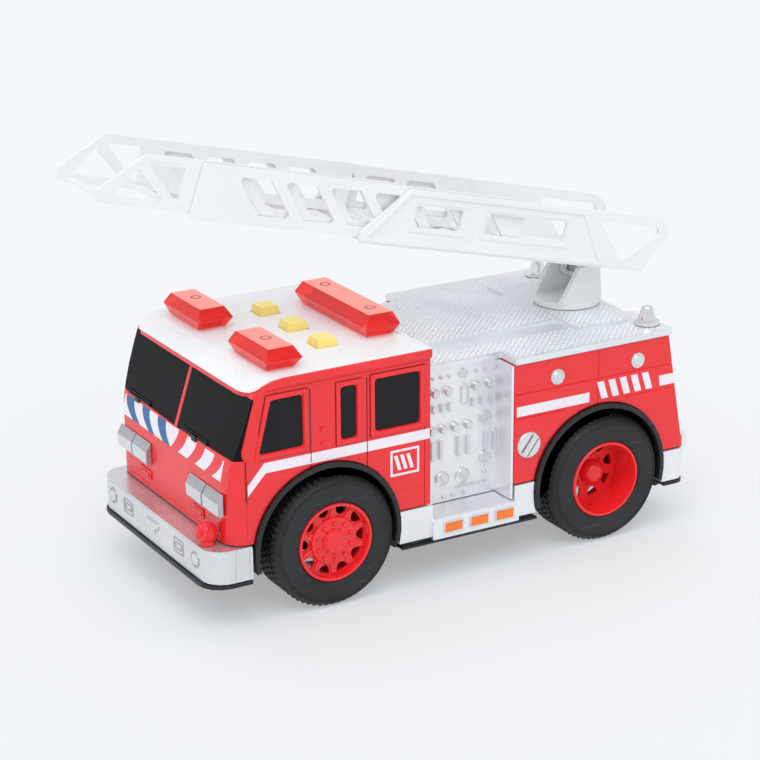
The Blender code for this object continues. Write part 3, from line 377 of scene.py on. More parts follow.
def round_edges(obj, width, degrees):
    """Rounds the edges that turn by more than an angle."""
    edges = obj.modifiers.new("edges", "BEVEL")
    edges.width = width * MM
    edges.segments = 2
    edges.limit_method = "ANGLE"
    edges.angle_limit = radians(degrees)


SLOTS = {
    **dict.fromkeys(("red", "seam", "decal_blue"), "red_plastic"),
    **dict.fromkeys(("white", "ladder", "decal_white"), "white_plastic"),
    **dict.fromkeys(("silver", "trim", "lamp", "lamp_face"), "silver_plastic"),
    **dict.fromkeys(("orange", "grey"), "clear_red_plastic"),
    "black": "black_plastic",
    "glazing": "glossy_black",
    "rubber": "black_rubber",
}


def piece(name, shape, material, body="vehicle", bevel=0.0, replaced=(), smooth=35):
    """Turns a bmesh in millimetres into a piece that rides on a body."""
    bmesh.ops.recalc_face_normals(shape, faces=shape.faces)
    bmesh.ops.scale(shape, vec=(MM, MM, MM), verts=shape.verts)
    obj = add_mesh(name, shape, MATERIALS[material])
    obj.data.shade_smooth()
    obj.data.set_sharp_from_angle(angle=radians(smooth))
    if bevel:
        round_edges(obj, bevel, 40)
        obj.modifiers.new("flat_faces", "WEIGHTED_NORMAL").keep_sharp = True
    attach(obj, body)
    if replaced:
        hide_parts(*replaced)


# CAD nodes that stay

def both(*names):
    """The left and the right node of each name."""
    return [name + "_" + label for name in names for _, label in SIDES]


ARCHES = both("wheel_arch_front", "wheel_arch_rear")
LADDERS = ["ladder_base", "ladder_middle", "ladder_fly"]
LIGHTS = ["rear_light_bar", *both("front_light")]
NODE_LOOKS = {
    "red": ["cab_shell", "rear_body"],
    "white": ["cab_roof"],
    "ladder": ["turntable", *LADDERS],
    "silver": ["deck"],
    "trim": ["front_bumper"],
    "panel": ["rear_bumper", *both("side_step", "pump_panel")],
    "black": ["chassis", "battery_cover", "speaker", "power_switch", *ARCHES],
    "screen": both("windscreen"),
    "glazing": both("door_window", "narrow_window", "rear_window"),
    "yellow": ["button_left", "button_middle", "button_right"],
    "lens": LIGHTS,
    "board": ["circuit_board"],
    "steel": ["front_axle", "rear_axle", "ladder_pin"]
    + [f"battery_{number}" for number in (1, 2, 3)]
    + [f"chassis_screw_{number}" for number in (1, 2, 3, 4)],
    "chrome": both("beacon"),
}
EDGE_WIDTHS = {
    "cab_shell": 0.9, "rear_body": 0.5, "deck": 0.4, "turntable": 0.4, "chassis": 0.6,
    **dict.fromkeys(LADDERS, 0.45), **dict.fromkeys(LIGHTS, 0.35), **dict.fromkeys(ARCHES, 1.1),
    **dict.fromkeys(both("side_step", "pump_panel"), 0.5),
}


def dress_cad_nodes():
    """Gives each kept CAD node its material, welds its facets and rounds its edges."""
    group = smoothing_group(32)
    for look, names in NODE_LOOKS.items():
        for name in names:
            obj = frame["nodes"][name]
            obj.data.materials.clear()
            obj.data.materials.append(MATERIALS[look])
            obj.modifiers.new("weld", "WELD").merge_threshold = 0.00001
            if name in EDGE_WIDTHS:
                flat = obj.modifiers.new("flat", "DECIMATE")
                flat.decimate_type = "DISSOLVE"
                flat.angle_limit = radians(1.0)
                round_edges(obj, EDGE_WIDTHS[name], 38)
            smooth_by_angle(obj, group)


def smooth_by_angle(obj, group):
    """Smooth shading with sharp edges over an angle, after the other modifiers."""
    for polygon in obj.data.polygons:
        polygon.use_smooth = True
    obj.modifiers.new("smooth", "NODES").node_group = group
    obj.modifiers.new("flat_faces", "WEIGHTED_NORMAL").keep_sharp = True


def smoothing_group(degrees):
    """A node group that smooths the edges that turn by less than an angle."""
    group = bpy.data.node_groups.new("smooth_by_angle", "GeometryNodeTree")
    group.interface.new_socket("Geometry", in_out="INPUT", socket_type="NodeSocketGeometry")
    group.interface.new_socket("Geometry", in_out="OUTPUT", socket_type="NodeSocketGeometry")
    start = group.nodes.new("NodeGroupInput")
    end = group.nodes.new("NodeGroupOutput")
    faces = group.nodes.new("GeometryNodeSetShadeSmooth")
    edges = group.nodes.new("GeometryNodeSetShadeSmooth")
    faces.domain = "FACE"
    edges.domain = "EDGE"
    fold = group.nodes.new("GeometryNodeInputMeshEdgeAngle")
    under = group.nodes.new("ShaderNodeMath")
    under.operation = "LESS_THAN"
    under.inputs[1].default_value = radians(degrees)
    link(start, "Geometry", faces, "Geometry")
    link(faces, "Geometry", edges, "Geometry")
    link(fold, "Unsigned Angle", under, 0)
    link(under, "Value", edges, "Shade Smooth")
    link(edges, "Geometry", end, "Geometry")
    return group


# Wheels

WHEEL_BOX = box_of("front_tyre_left")
TYRE_R = (WHEEL_BOX[1].z - WHEEL_BOX[0].z) / 2
TYRE_WIDTH = WHEEL_BOX[1].y - WHEEL_BOX[0].y
RIM_R = (corner("front_rim_left", 1).z - corner("front_rim_left", 0).z) / 2
AXLE_R = 2.3
RIM_STEPS, TREAD_BLOCKS = 72, 62


def tyre(name, place, body):
    """A tyre with faint sidewall rings and rows of small staggered tread blocks."""
    shape = bmesh.new()
    width = TYRE_WIDTH
    bed = TYRE_R - 0.9
    side = []
    for radius in (30.9, 32.0):
        side += [
            (radius - 0.3, width - 0.35), (radius - 0.15, width - 0.62),
            (radius + 0.15, width - 0.62), (radius + 0.3, width - 0.35),
        ]
    profile = [
        (RIM_R + 0.2, width - 1.0), (RIM_R + 0.9, width - 0.2), (25.0, width), (29.0, width - 0.1),
        *side,
        (33.1, width - 1.2), (34.1, width - 2.6), (TYRE_R - 0.1, width - 4.2),
        (TYRE_R - 0.1, width - 4.9), (bed, width - 5.2), (bed, 5.0), (bed - 0.8, 2.4), (31.5, 0.6),
        (25.0, 0.1), (RIM_R + 0.2, 0.9),
    ]
    lathe(shape, profile, 96, place, closed=True)
    rows = ((2.8, 5.6), (6.4, 9.2), (10.0, 12.8), (13.6, 16.4), (17.2, 20.8))
    for row, (low, high) in enumerate(rows):
        middle = Matrix.Translation(((bed - 1.0 + TYRE_R) / 2, 0, (low + high) / 2))
        lean = turned(middle, 14 if row % 2 else -14, "X")
        reach = Vector((TYRE_R - bed + 1.0, 2.3, high - low)) / 2
        for angle in turns(TREAD_BLOCKS, 0.5 * (row % 2)):
            block(shape, -reach, reach, place @ Matrix.Rotation(angle, 4, "Z") @ lean)
    tilt = turned(Matrix.Translation((TYRE_R - 1.0, 0, width - 3.6)), -38, "Y")
    reach = Vector((0.75, 0.7, 1.25))
    for angle in turns(TREAD_BLOCKS, 0.25):
        block(shape, -reach, reach, place @ Matrix.Rotation(angle, 4, "Z") @ tilt)
    piece(name, shape, "rubber", body, replaced=(name.replace("_tread", ""),))


def tooth(angle, low_r, high_r, spread, steps=8):
    """A D-shaped opening: flat near the rim and round towards the hub."""
    points = [polar(high_r, angle - spread + 2 * spread * step / 4) for step in range(5)]
    for step in range(1, steps):
        share = pi * step / steps
        turn = angle + spread * cos(share)
        radius = high_r - (high_r - low_r) * sin(share) ** 0.8
        points.append(polar(radius, turn))
    return points


def dome(shape, centre, radius, height, place, steps=10):
    """Adds a low round cap such as a wheel nut."""
    crown = [(0, height), (radius * 0.7, height * 0.75), (radius, height * 0.2)]
    lathe(shape, [*crown, (radius, -0.6), (0, -0.6)], steps, place @ Matrix.Translation(centre))


def front_rim(name, place, body):
    """Domed disc with openings at its edge, a ring of nuts and a notched hub cap."""
    shape = bmesh.new()
    top = TYRE_WIDTH - 0.3
    rim = [
        (RIM_R - 2.2, top - 1.4), (RIM_R - 1.7, top), (RIM_R - 0.4, top), (RIM_R, top - 0.6),
        (RIM_R, 1.0), (RIM_R - 1.6, 1.0), (RIM_R - 2.3, top - 7.0),
    ]
    lathe(shape, rim, RIM_STEPS, place, closed=True)
    count = 10
    spread = radians(11.0)
    holes = [tooth(angle, 13.6, 18.0, spread) for angle in turns(count)]
    slab(shape, [circle(RIM_R - 1.9, RIM_STEPS), *holes], "XY", top - 5.4, top - 3.9, place)
    spoke = [(12.0, -1.9), (17.8, -1.1), (17.8, 1.1), (12.0, 1.9)]
    for angle in turns(count, 0.5):
        arm = place @ Matrix.Rotation(angle, 4, "Z")
        slab(shape, [spoke], "XY", top - 4.4, top - 3.1, arm)
    plate = [
        (0, top - 1.7), (11.0, top - 1.9), (12.4, top - 2.4), (13.1, top - 3.4), (13.1, top - 4.9),
        (0, top - 4.9),
    ]
    lathe(shape, plate, 64, place)
    hub = [
        (0, top + 0.3), (4.6, top + 0.3), (5.5, top - 0.1), (5.8, top - 0.8), (6.6, top - 1.0),
        (6.8, top - 2.2), (0, top - 2.2),
    ]
    lathe(shape, hub, 48, place)
    for angle in turns(count, 0.5):
        dome(shape, (*polar(9.8, angle), top - 1.9), 1.35, 1.5, place)
        turn = place @ Matrix.Rotation(angle, 4, "Z")
        block(shape, (5.6, -0.75, top - 1.6), (6.9, 0.75, top - 0.45), turn)
    sleeve = [(4.0, top - 3), (7.0, top - 20), (7.0, 4.0), (AXLE_R, 4.0), (AXLE_R, top - 3)]
    lathe(shape, sleeve, 32, place, closed=True)
    piece(name, shape, "red", body, 0.12, (name.replace("_detail", ""),))


def rear_rim(name, place, body):
    """Deep dish with a round hub and a ring of openings in the back disc."""
    shape = bmesh.new()
    top = TYRE_WIDTH - 0.5
    deep = 9.5
    dish = [
        (RIM_R - 2.0, top - 1.2), (RIM_R - 1.6, top), (RIM_R - 0.4, top), (RIM_R, top - 0.5),
        (RIM_R, 1.0), (RIM_R - 2.4, 1.0), (RIM_R - 3.6, deep - 1.0), (RIM_R - 3.8, deep + 1.0),
        (RIM_R - 2.6, top - 8.0),
    ]
    lathe(shape, dish, RIM_STEPS, place, closed=True)
    count = 8
    spread = radians(12.5)
    holes = [tooth(angle, 10.6, 15.4, spread) for angle in turns(count, 0.3)]
    slab(shape, [circle(RIM_R - 3.3, RIM_STEPS), *holes], "XY", deep - 1.8, deep, place)
    hub = [
        (0, deep + 9.0), (3.2, deep + 8.7), (5.2, deep + 7.4), (6.6, deep + 5.0),
        (6.9, deep + 1.8), (9.2, deep + 1.2), (9.8, deep - 0.4), (0, deep - 0.4),
    ]
    lathe(shape, hub, 48, place)
    for angle in turns(count, 0.8):
        dome(shape, (*polar(8.1, angle), deep + 1.5), 0.8, 1.2, place, 8)
    lathe(shape, [(5.0, deep), (5.0, 4.0), (AXLE_R, 4.0), (AXLE_R, deep)], 32, place, closed=True)
    piece(name, shape, "red", body, replaced=(name.replace("_detail", ""),))


def build_wheels():
    """A finer tyre and rim in place of each plain one, on the pair's rolling body."""
    for end, rim in (("front", front_rim), ("rear", rear_rim)):
        body = end + "_wheels"
        for side, label in SIDES:
            node_name = f"{end}_tyre_{label}"
            low, high = box_of(node_name)
            inner = low.y if side > 0 else high.y
            middle = ((low.x + high.x) / 2, inner, (low.z + high.z) / 2)
            place = along((0, side, 0), middle)
            tyre(node_name + "_tread", place, body)
            rim(f"{end}_rim_{label}_detail", place, body)


# Sides


def side_slab(shape, outlines, side, proud=PROUD, sink=SINK, face=SIDE_Y, place=None):
    """An outline in X and Z laid on an upright face, the vehicle's side unless told otherwise."""
    low, high = span(side, face - sink, face + proud)
    slab(shape, outlines, "XZ", low, high, place)


def pill(x, z, half_x, half_z):
    """The outline of a slot with round ends, or of a disc."""
    return centred_box(x, z, half_x, half_z, min(half_x, half_z) * 0.98, 6)


def lean_bar(x, low_z, high_z, width, lean):
    """The outline of a slanted bar between two heights."""
    return [(x, low_z), (x + width, low_z), (x + width + lean, high_z), (x + lean, high_z)]


STRIPE_LOW, STRIPE_HIGH = 79.8, 85.2
STRIPE_DROP = 10.4
DOOR_LINE_X, HANDLE_X = 111.4, 69.5
WINDOW_NODES = ("door_window", "narrow_window", "rear_window")
DOOR_SEAMS = (
    [(111.9, 66.0), (112.1, 86.3), (109.7, 98.8), (105.0, 118.6)],
    [(76.0, 80.6), (76.0, 119.0)],
    [(44.1, 73.0), (44.1, 119.0)],
)
SCREEN_POST = [
    (105.0, 119.2), (105.0, 86.6), (111.0, 86.6), (113.2, 88.2), (114.3, 91.0), (114.0, 93.6),
    (110.4, 107.4), (106.9, 119.0),
]


def window_outline(kind, grow):
    """A side window's corners, read from its CAD pane and grown."""
    low, high = box_of(kind + "_left")
    slope = 7.2 if kind == "door_window" else 0.0
    return [
        (low.x - grow, low.z - grow), (high.x + grow, low.z - grow),
        (high.x - slope + grow, high.z + grow), (low.x - grow, high.z + grow),
    ]


def build_cab_sides():
    """Stripe, badge, window frames, door handle, windscreen posts and seams."""
    front, rear = DOOR_LINE_X, CAB_LOW.x + 0.4
    kink = FRONT_X - 20.0
    for side, label in SIDES:
        shape = bmesh.new()
        stripe = [
            (rear, STRIPE_LOW), (kink, STRIPE_LOW), (front, STRIPE_LOW - STRIPE_DROP),
            (front, STRIPE_HIGH - STRIPE_DROP), (kink + 0.6, STRIPE_HIGH), (rear, STRIPE_HIGH),
        ]
        side_slab(shape, [stripe], side)
        badge_low, badge_high = 14.2, 31.0
        frame_outer = round_box(badge_low, badge_high, 63.2, 77.2, 0.4)
        frame_inner = round_box(badge_low + 1.2, badge_high - 1.2, 64.4, 76.0, 0.2)
        side_slab(shape, [frame_outer, frame_inner], side)
        for x in (17.4, 21.0, 24.6):
            side_slab(shape, [lean_bar(x, 66.2, 74.2, 2.0, 2.4)], side)
        piece("side_decal_" + label, shape, "decal_white")
        shape = bmesh.new()
        for kind in WINDOW_NODES:
            side_slab(shape, [window_outline(kind, 3.0), window_outline(kind, 0.7)], side, 0.7)
        side_slab(shape, [pill(HANDLE_X, 96.6, 1.1, 1.4)], side, 1.1)
        side_slab(shape, [pill(HANDLE_X, 89.2, 1.0, 1.0)], side, 0.9)
        side_slab(shape, [round_box(CAB_LOW.x + 0.2, 99.0, 120.6, 121.7, 0.4)], side, 0.4)
        side_slab(shape, [SCREEN_POST], side, 0.35, 1.6)
        piece("cab_trim_" + label, shape, "red", bevel=0.15)
        shape = bmesh.new()
        for kind in WINDOW_NODES:
            side_slab(shape, [window_outline(kind, 3.45), window_outline(kind, 3.05)], side, 0.1)
        for line in DOOR_SEAMS:
            ahead = [(x + 0.45, z) for x, z in line]
            side_slab(shape, [line + ahead[::-1]], side, PROUD + 0.05)
        piece("door_seams_" + label, shape, "seam")
        build_rear_side(side, label)


def build_rear_side(side, label):
    """Stripes, plain slanted bars, round lamps and the hose cap of the rear body."""
    shape = bmesh.new()
    side_slab(shape, [round_box(-90.2, -44.7, 80.9, 86.3, 0.2)], side)
    side_slab(shape, [[(-145.7, 81.6), (-136.0, 81.6), (-135.2, 87.4), (-144.7, 87.4)]], side)
    for index in range(5):
        side_slab(shape, [lean_bar(-131.0 + index * 7.2, 81.4, 91.0, 4.2, 3.0)], side)
    piece("rear_stripe_" + label, shape, "decal_white")
    shape = bmesh.new()
    for x in (-69.6, -120.7):
        place = outward(side, x, SIDE_Y - SINK, 98.8)
        button = [(0, 1.5), (2.4, 1.3), (2.9, 0.8)]
        collar = [(3.5, 0.9), (3.7, 1.3), (4.2, 1.1), (4.3, 0), (0, 0)]
        lathe(shape, button + collar, 32, place)
    place = outward(side, -52.3, SIDE_Y - SINK, 64.4)
    lathe(shape, [(0, 1.9), (6.0, 1.9), (6.8, 1.5), (7.2, 0.8), (7.2, 0), (0, 0)], 40, place)
    bar = Matrix.Rotation(radians(-38 * side), 4, "Z")
    block(shape, (-1.5, -5.9, 1.5), (1.5, 5.9, 2.6), place @ bar)
    piece("side_fittings_" + label, shape, "trim", bevel=0.12)
    shape = bmesh.new()
    for offset in (-2.2, 2.2):
        block(shape, (offset - 0.35, -5.6, 1.7), (offset + 0.35, 5.6, 1.98), place @ bar)
    piece("cap_slots_" + label, shape, "seam")


# Pump panels

PANEL_FACE, PANEL_SINK = 50.0, 0.2
PANEL_KNOBS = [(x, 104.7, 0.95) for x in (-8.2, -13.0, -29.4, -34.9, -40.2, -3.2)]
PANEL_KNOBS += [(x, 38.7, 1.15) for x in (-9.6, -15.5, -21.9)] + [(-34.8, 48.1, 1.3)]
PANEL_LEVERS = [(x, 97.0) for x in (-4.0, -11.8, -28.8, -36.8)]
PANEL_LEVERS += [(x, 76.6) for x in (-2.4, -8.9, -16.2, -24.1)]
PANEL_PEGS = [(x, 88.0) for x in (-3.4, -8.3, -12.9, -27.1, -32.4, -38.1)]
PANEL_BARS = [(x, 65.2) for x in (-2.6, -7.7, -18.6, -24.2, -35.2, -40.2)]
PANEL_DIALS = ((-35.2, 78.2, 3.7), (-35.2, 55.9, 3.7), (-21.5, 104.8, 2.6))
PANEL_CAPS = ((-8.8, 48.9, 4.1), (-21.2, 48.7, 4.1))


def on_panel(side, x, z):
    """A matrix on a pump panel's face, with local Z pointing out of it."""
    return outward(side, x, PANEL_FACE - PANEL_SINK, z)


def build_pump_panels():
    """Small controls in rows on each recessed pump panel."""
    for side, label in SIDES:
        shape = bmesh.new()
        for x, z, radius in PANEL_KNOBS:
            knob = [(0, 2.0), (radius * 0.8, 1.8), (radius, 1.2), (radius, 0), (0, 0)]
            lathe(shape, knob, 12, on_panel(side, x, z))
        for x, z in PANEL_LEVERS:
            lever = [(0, 3.4), (1.9, 3.2), (2.4, 2.4), (2.5, 0), (0, 0)]
            lathe(shape, lever, 20, on_panel(side, x, z))
        for x, z in PANEL_PEGS:
            side_slab(shape, [centred_box(x, z, 0.85, 2.2, 0.5)], side, 2.0, PANEL_SINK, PANEL_FACE)
        for x, z in PANEL_BARS:
            side_slab(shape, [centred_box(x, z, 0.95, 5.4, 0.8)], side, 2.0, PANEL_SINK, PANEL_FACE)
        for x, z, radius in PANEL_DIALS:
            glass = [(0, 0.8), (radius - 0.9, 0.8), (radius - 0.7, 1.5)]
            lathe(shape, [*glass, (radius, 1.5), (radius, 0), (0, 0)], 32, on_panel(side, x, z))
            needle = on_panel(side, x, z) @ Matrix.Rotation(0.7, 4, "Z")
            block(shape, (-0.2, -0.2, 0.7), (0.2, radius - 1.2, 1.1), needle)
        for x, z, radius in PANEL_CAPS:
            cap = [(0, 1.6), (radius - 0.8, 1.6), (radius, 1.0), (radius, 0), (0, 0)]
            lathe(shape, cap, 32, on_panel(side, x, z))
            grip = on_panel(side, x, z) @ Matrix.Rotation(0.5, 4, "Z")
            block(shape, (-0.4, -radius + 1, 1.5), (0.4, radius - 1, 2.2), grip)
        slot_outer = round_box(-25.2, -20.2, 87.2, 99.0, 2.2)
        slot_inner = round_box(-24.3, -21.1, 88.1, 98.1, 1.4)
        shelf = round_box(-36.8, -17.0, 42.2, 43.4, 0.5)
        for outlines in ([slot_outer, slot_inner], [shelf]):
            side_slab(shape, outlines, side, 0.9, PANEL_SINK, PANEL_FACE)
        piece("pump_controls_" + label, shape, "trim", bevel=0.12)


def build_step_reflectors():
    """Framed orange reflectors and a dark foot strip on each step box."""
    for side, label in SIDES:
        low, high = box_of("side_step_" + label)
        face = max(abs(low.y), abs(high.y))
        bezel, lens, strip = bmesh.new(), bmesh.new(), bmesh.new()
        for middle in (-4.9, -20.6, -36.2):
            outer = centred_box(middle, 30.0, 6.0, 3.4, 0.8)
            inner = centred_box(middle, 30.0, 5.2, 2.5, 0.4)
            side_slab(bezel, [outer, inner], side, 0.55, SINK, face)
            side_slab(lens, [inner], side, 0.25, SINK, face)
        piece("reflector_frames_" + label, bezel, "trim", bevel=0.12)
        piece("reflectors_" + label, lens, "orange")
        foot = round_box(low.x + 0.3, high.x - 0.3, low.z - 0.8, low.z + 0.2, 0.2)
        side_slab(strip, [foot], side, 0.2, 6.0, face)
        piece("step_foot_" + label, strip, "black")


# Deck


TREAD_PITCH, DECK_STEP = 1.9, 1.5
TURNTABLE_CLEAR, BEACON_CLEAR, EDGE_CLEAR = 19.5, 8.2, 3.0
PANEL_REAR_X, WIDE_FRONT_X, WIDE_REAR_X, TAIL_REAR_X = -46.0, -98.5, -126.0, -134.5


def lozenge(shape, x, y, z, flip):
    """One raised mark of tread plate."""
    long_half, short_half, height = 1.15, 0.42, 0.22
    angle = radians(45 if flip else -45)
    cosine, sine = cos(angle), sin(angle)
    base = []
    for along_x, along_y in ((long_half, 0), (0, short_half), (-long_half, 0), (0, -short_half)):
        px = x + along_x * cosine - along_y * sine
        py = y + along_x * sine + along_y * cosine
        base.append(shape.verts.new((px, py, z - 0.05)))
    ridge = []
    for reach in (long_half * 0.55, -long_half * 0.55):
        ridge.append(shape.verts.new((x + reach * cosine, y + reach * sine, z + height)))
    corners = base + ridge
    for face in ((0, 1, 4), (1, 5, 4), (1, 2, 5), (2, 3, 5), (3, 4, 5), (3, 0, 4), (0, 3, 2, 1)):
        shape.faces.new([corners[index] for index in face])


def build_tread():
    """Tread plate marks on the deck, with a smooth band beside its raised middle."""
    shape = bmesh.new()
    front = DECK_HIGH.x - 5.5
    rear = DECK_LOW.x + EDGE_CLEAR
    rows = int((front - rear) / TREAD_PITCH)
    columns = int(2 * DECK_HIGH.y / TREAD_PITCH)
    for row in range(rows):
        for column in range(columns):
            x = rear + row * TREAD_PITCH
            y = -DECK_HIGH.y + 2.0 + column * TREAD_PITCH
            height = tread_height(x, y)
            if height is not None:
                lozenge(shape, x, y, height, (row + column) % 2)
    piece("deck_tread", shape, "silver", smooth=10)


def tread_height(x, side_y):
    """The deck's level where it has tread, or None on smooth bands, edges and fittings."""
    y = abs(side_y)
    top, low_top = DECK_HIGH.z, DECK_HIGH.z - DECK_STEP
    table_x = JOINTS["turntable_swivel"]["pos_m"][0] / MM
    beacon = (corner("beacon_left", 0) + corner("beacon_left", 1)) / 2
    if hypot(x - table_x, y) < TURNTABLE_CLEAR:
        return None
    if hypot(x - beacon.x, y - beacon.y) < BEACON_CLEAR:
        return None
    if x > WIDE_FRONT_X:
        if y < 23.8:
            return top
        limit = DECK_HIGH.y - EDGE_CLEAR if x < PANEL_REAR_X else 50.2
        return low_top if (37.5 if side_y > 0 else 25.5) < y < limit else None
    if (y < 43.6 and x > WIDE_REAR_X) or (y < 25.0 and x > TAIL_REAR_X):
        return top
    if 46.5 < y < DECK_HIGH.y - EDGE_CLEAR and x > DECK_LOW.x + 3.4:
        return low_top
    return None


# Front

BELT_Z, BEND_HEIGHT, BEND_DEPTH = 86.0, 10.0, 2.8
SCREEN_RUN, SCREEN_RISE = 11.4, 35.0
PATTERN_LOW, PATTERN_HIGH = 76.2, 86.2
BLUE_BARS = (
    ((-58.2, -48.4), (-45.6, -36.8)),
    ((-38.4, -29.6), (-26.2, -18.9)),
    ((-19.8, -10.0), (-9.2, -0.4)),
)
WHITE_PATCHES = (
    ((14.7, 25.2), (8.6, 19.0)),
    ((34.6, 44.9), (27.8, 38.4)),
    ((54.2, 55.4), (46.6, 56.0)),
)


def front_x(z):
    """The cab's front surface at a height: upright, bending back to the belt, then sloping."""
    above = z - BELT_Z
    if above < -BEND_HEIGHT:
        return FRONT_X
    if above < 0:
        return FRONT_X - BEND_DEPTH * (above + BEND_HEIGHT) / BEND_HEIGHT
    return FRONT_X - BEND_DEPTH - SCREEN_RUN * above / SCREEN_RISE


def front_bar(shape, top_y, bottom_y):
    """A curved bar across the cab's front, following its bend; each pair holds its two Y edges."""
    rings = []
    for step in range(7):
        share = step / 6
        z = PATTERN_LOW + (PATTERN_HIGH - PATTERN_LOW) * share
        curve = 1 - (1 - share) ** 2
        start = bottom_y[0] + (top_y[0] - bottom_y[0]) * curve
        end = bottom_y[1] + (top_y[1] - bottom_y[1]) * curve
        corners = ((-SINK, start), (-SINK, end), (PROUD, end), (PROUD, start))
        rings.append([shape.verts.new((front_x(z) + depth, y, z)) for depth, y in corners])
    skin(shape, rings)


def build_front_pattern():
    """White and blue curved bars below the windscreen."""
    white, blue = bmesh.new(), bmesh.new()
    top, bottom = -59.6, -57.8
    for top_y, bottom_y in BLUE_BARS:
        front_bar(blue, top_y, bottom_y)
        front_bar(white, (top, top_y[0]), (bottom, bottom_y[0]))
        top, bottom = top_y[1], bottom_y[1]
    front_bar(white, (top, 4.8), (bottom, bottom + 0.3))
    for top_y, bottom_y in WHITE_PATCHES:
        front_bar(white, top_y, bottom_y)
    piece("front_bars_white", white, "decal_white")
    piece("front_bars_blue", blue, "decal_blue")


def build_headlights():
    """Twin lamps with sloping tops, in a pair on each side."""
    for side, label in SIDES:
        low, high = box_of("headlight_" + label)
        inner, outer = sorted((abs(low.y), abs(high.y)))
        middle = (inner + outer) / 2
        housing, lens = bmesh.new(), bmesh.new()
        profile = [
            (low.x - 0.1, low.z), (high.x - 0.4, low.z + 0.4), (high.x - 0.2, high.z - 4.2),
            (low.x + 0.4, high.z), (low.x - 0.1, high.z),
        ]
        face = [
            (high.x - 0.8, low.z + 0.5), (high.x - 0.1, low.z + 0.5),
            (high.x + 0.2, high.z - 4.5), (high.x - 0.8, high.z - 4.5),
        ]
        for start, end in ((inner, middle - 0.45), (middle + 0.45, outer)):
            first, last = span(side, start, end)
            slab(housing, [profile], "XZ", first, last)
            slab(lens, [face], "XZ", first + 0.3, last - 0.3)
        back, front_face = span(side, inner + 1, outer - 1)
        block(housing, (low.x - 0.2, back, low.z + 1), (low.x + 0.6, front_face, high.z - 2))
        plain = ("headlight_" + label,)
        piece("headlight_housing_" + label, housing, "lamp_face", bevel=0.35, replaced=plain)
        piece("headlight_lens_" + label, lens, "trim", bevel=0.3)


def build_front_details():
    """Grille panel, wipers, siren and bumper fittings."""
    shape = bmesh.new()
    for side in (-1, 1):
        low, high = span(side, 24.5, 37.0)
        block(shape, (FRONT_X - 0.3, low, 49.6), (FRONT_X + 0.8, high, 54.4))
        low, high = span(side, 26.0, 35.5)
        block(shape, (FRONT_X - 0.3, low, 50.8), (FRONT_X + 1.3, high, 53.2))
    block(shape, (FRONT_X - 0.3, -52.0, 45.2), (FRONT_X + 0.5, 52.0, 46.4))
    piece("front_panel_trim", shape, "red", bevel=0.3)
    shape = bmesh.new()
    for start, end in ((8.0, 36.0), (-60.0, -30.0)):
        for lift, thick in ((2.2, 0.55), (3.5, 0.3)):
            z = BELT_Z + lift
            tilt = atan2(-SCREEN_RUN, SCREEN_RISE)
            place = Matrix.Translation((front_x(z) + 0.25, 0, z)) @ Matrix.Rotation(tilt, 4, "Y")
            block(shape, (-0.2, max(start, -56.0), -thick), (0.7, end, thick), place)
        middle = (start + end) / 2
        place = Matrix.Translation((front_x(88.0) + 0.3, middle, 88.0))
        block(shape, (-0.3, -2.4, -2.2), (0.9, 2.4, 1.0), place)
    piece("wipers", shape, "glazing", bevel=0.15)
    build_siren()
    build_bumper_details()


def build_siren():
    """Red siren: a ball on a short foot, with a band, four raised lobes and a tip."""
    low, high = box_of("siren")
    middle = (low + high) / 2
    radius = (high.x - low.x) / 2
    shape = bmesh.new()
    centre = Vector((middle.x, middle.y, high.z - radius - 0.1))
    ball = Matrix.Translation(centre)
    core = radius * 0.95
    arc = [polar(core, radians(90 - step * 18)) for step in range(1, 10)]
    lathe(shape, [(0, core), *arc, (0, -core)], 32, ball)
    foot = centre.z - low.z
    lathe(shape, [(0, -radius * 0.6), (3.6, -radius * 0.6), (4.4, -foot), (0, -foot)], 32, ball)
    face = turned(turned(ball, 26, "Z"), 72, "Y")
    lobe = [(0, 1.9), (1.1, 1.75), (1.9, 1.1), (2.1, 0.2), (1.6, -1.0), (0, -1.0)]
    for degrees in (45, 135, 225, 315):
        spot = Matrix.Translation((*polar(2.5, radians(degrees)), radius * 0.62))
        lathe(shape, lobe, 20, face @ spot)
    band = [(radius, -0.7), (radius, 0.7), (radius * 0.8, 0.7), (radius * 0.8, -0.7)]
    lathe(shape, band, 40, face @ Matrix.Translation((0, 0, -0.6)), closed=True)
    tip = [(0, 2.0), (0.8, 1.9), (1.1, 1.2), (1.1, 0), (0, 0)]
    lathe(shape, tip, 16, face @ Matrix.Translation((0, 0, radius * 0.78)))
    piece("siren_ball", shape, "red", replaced=("siren",))


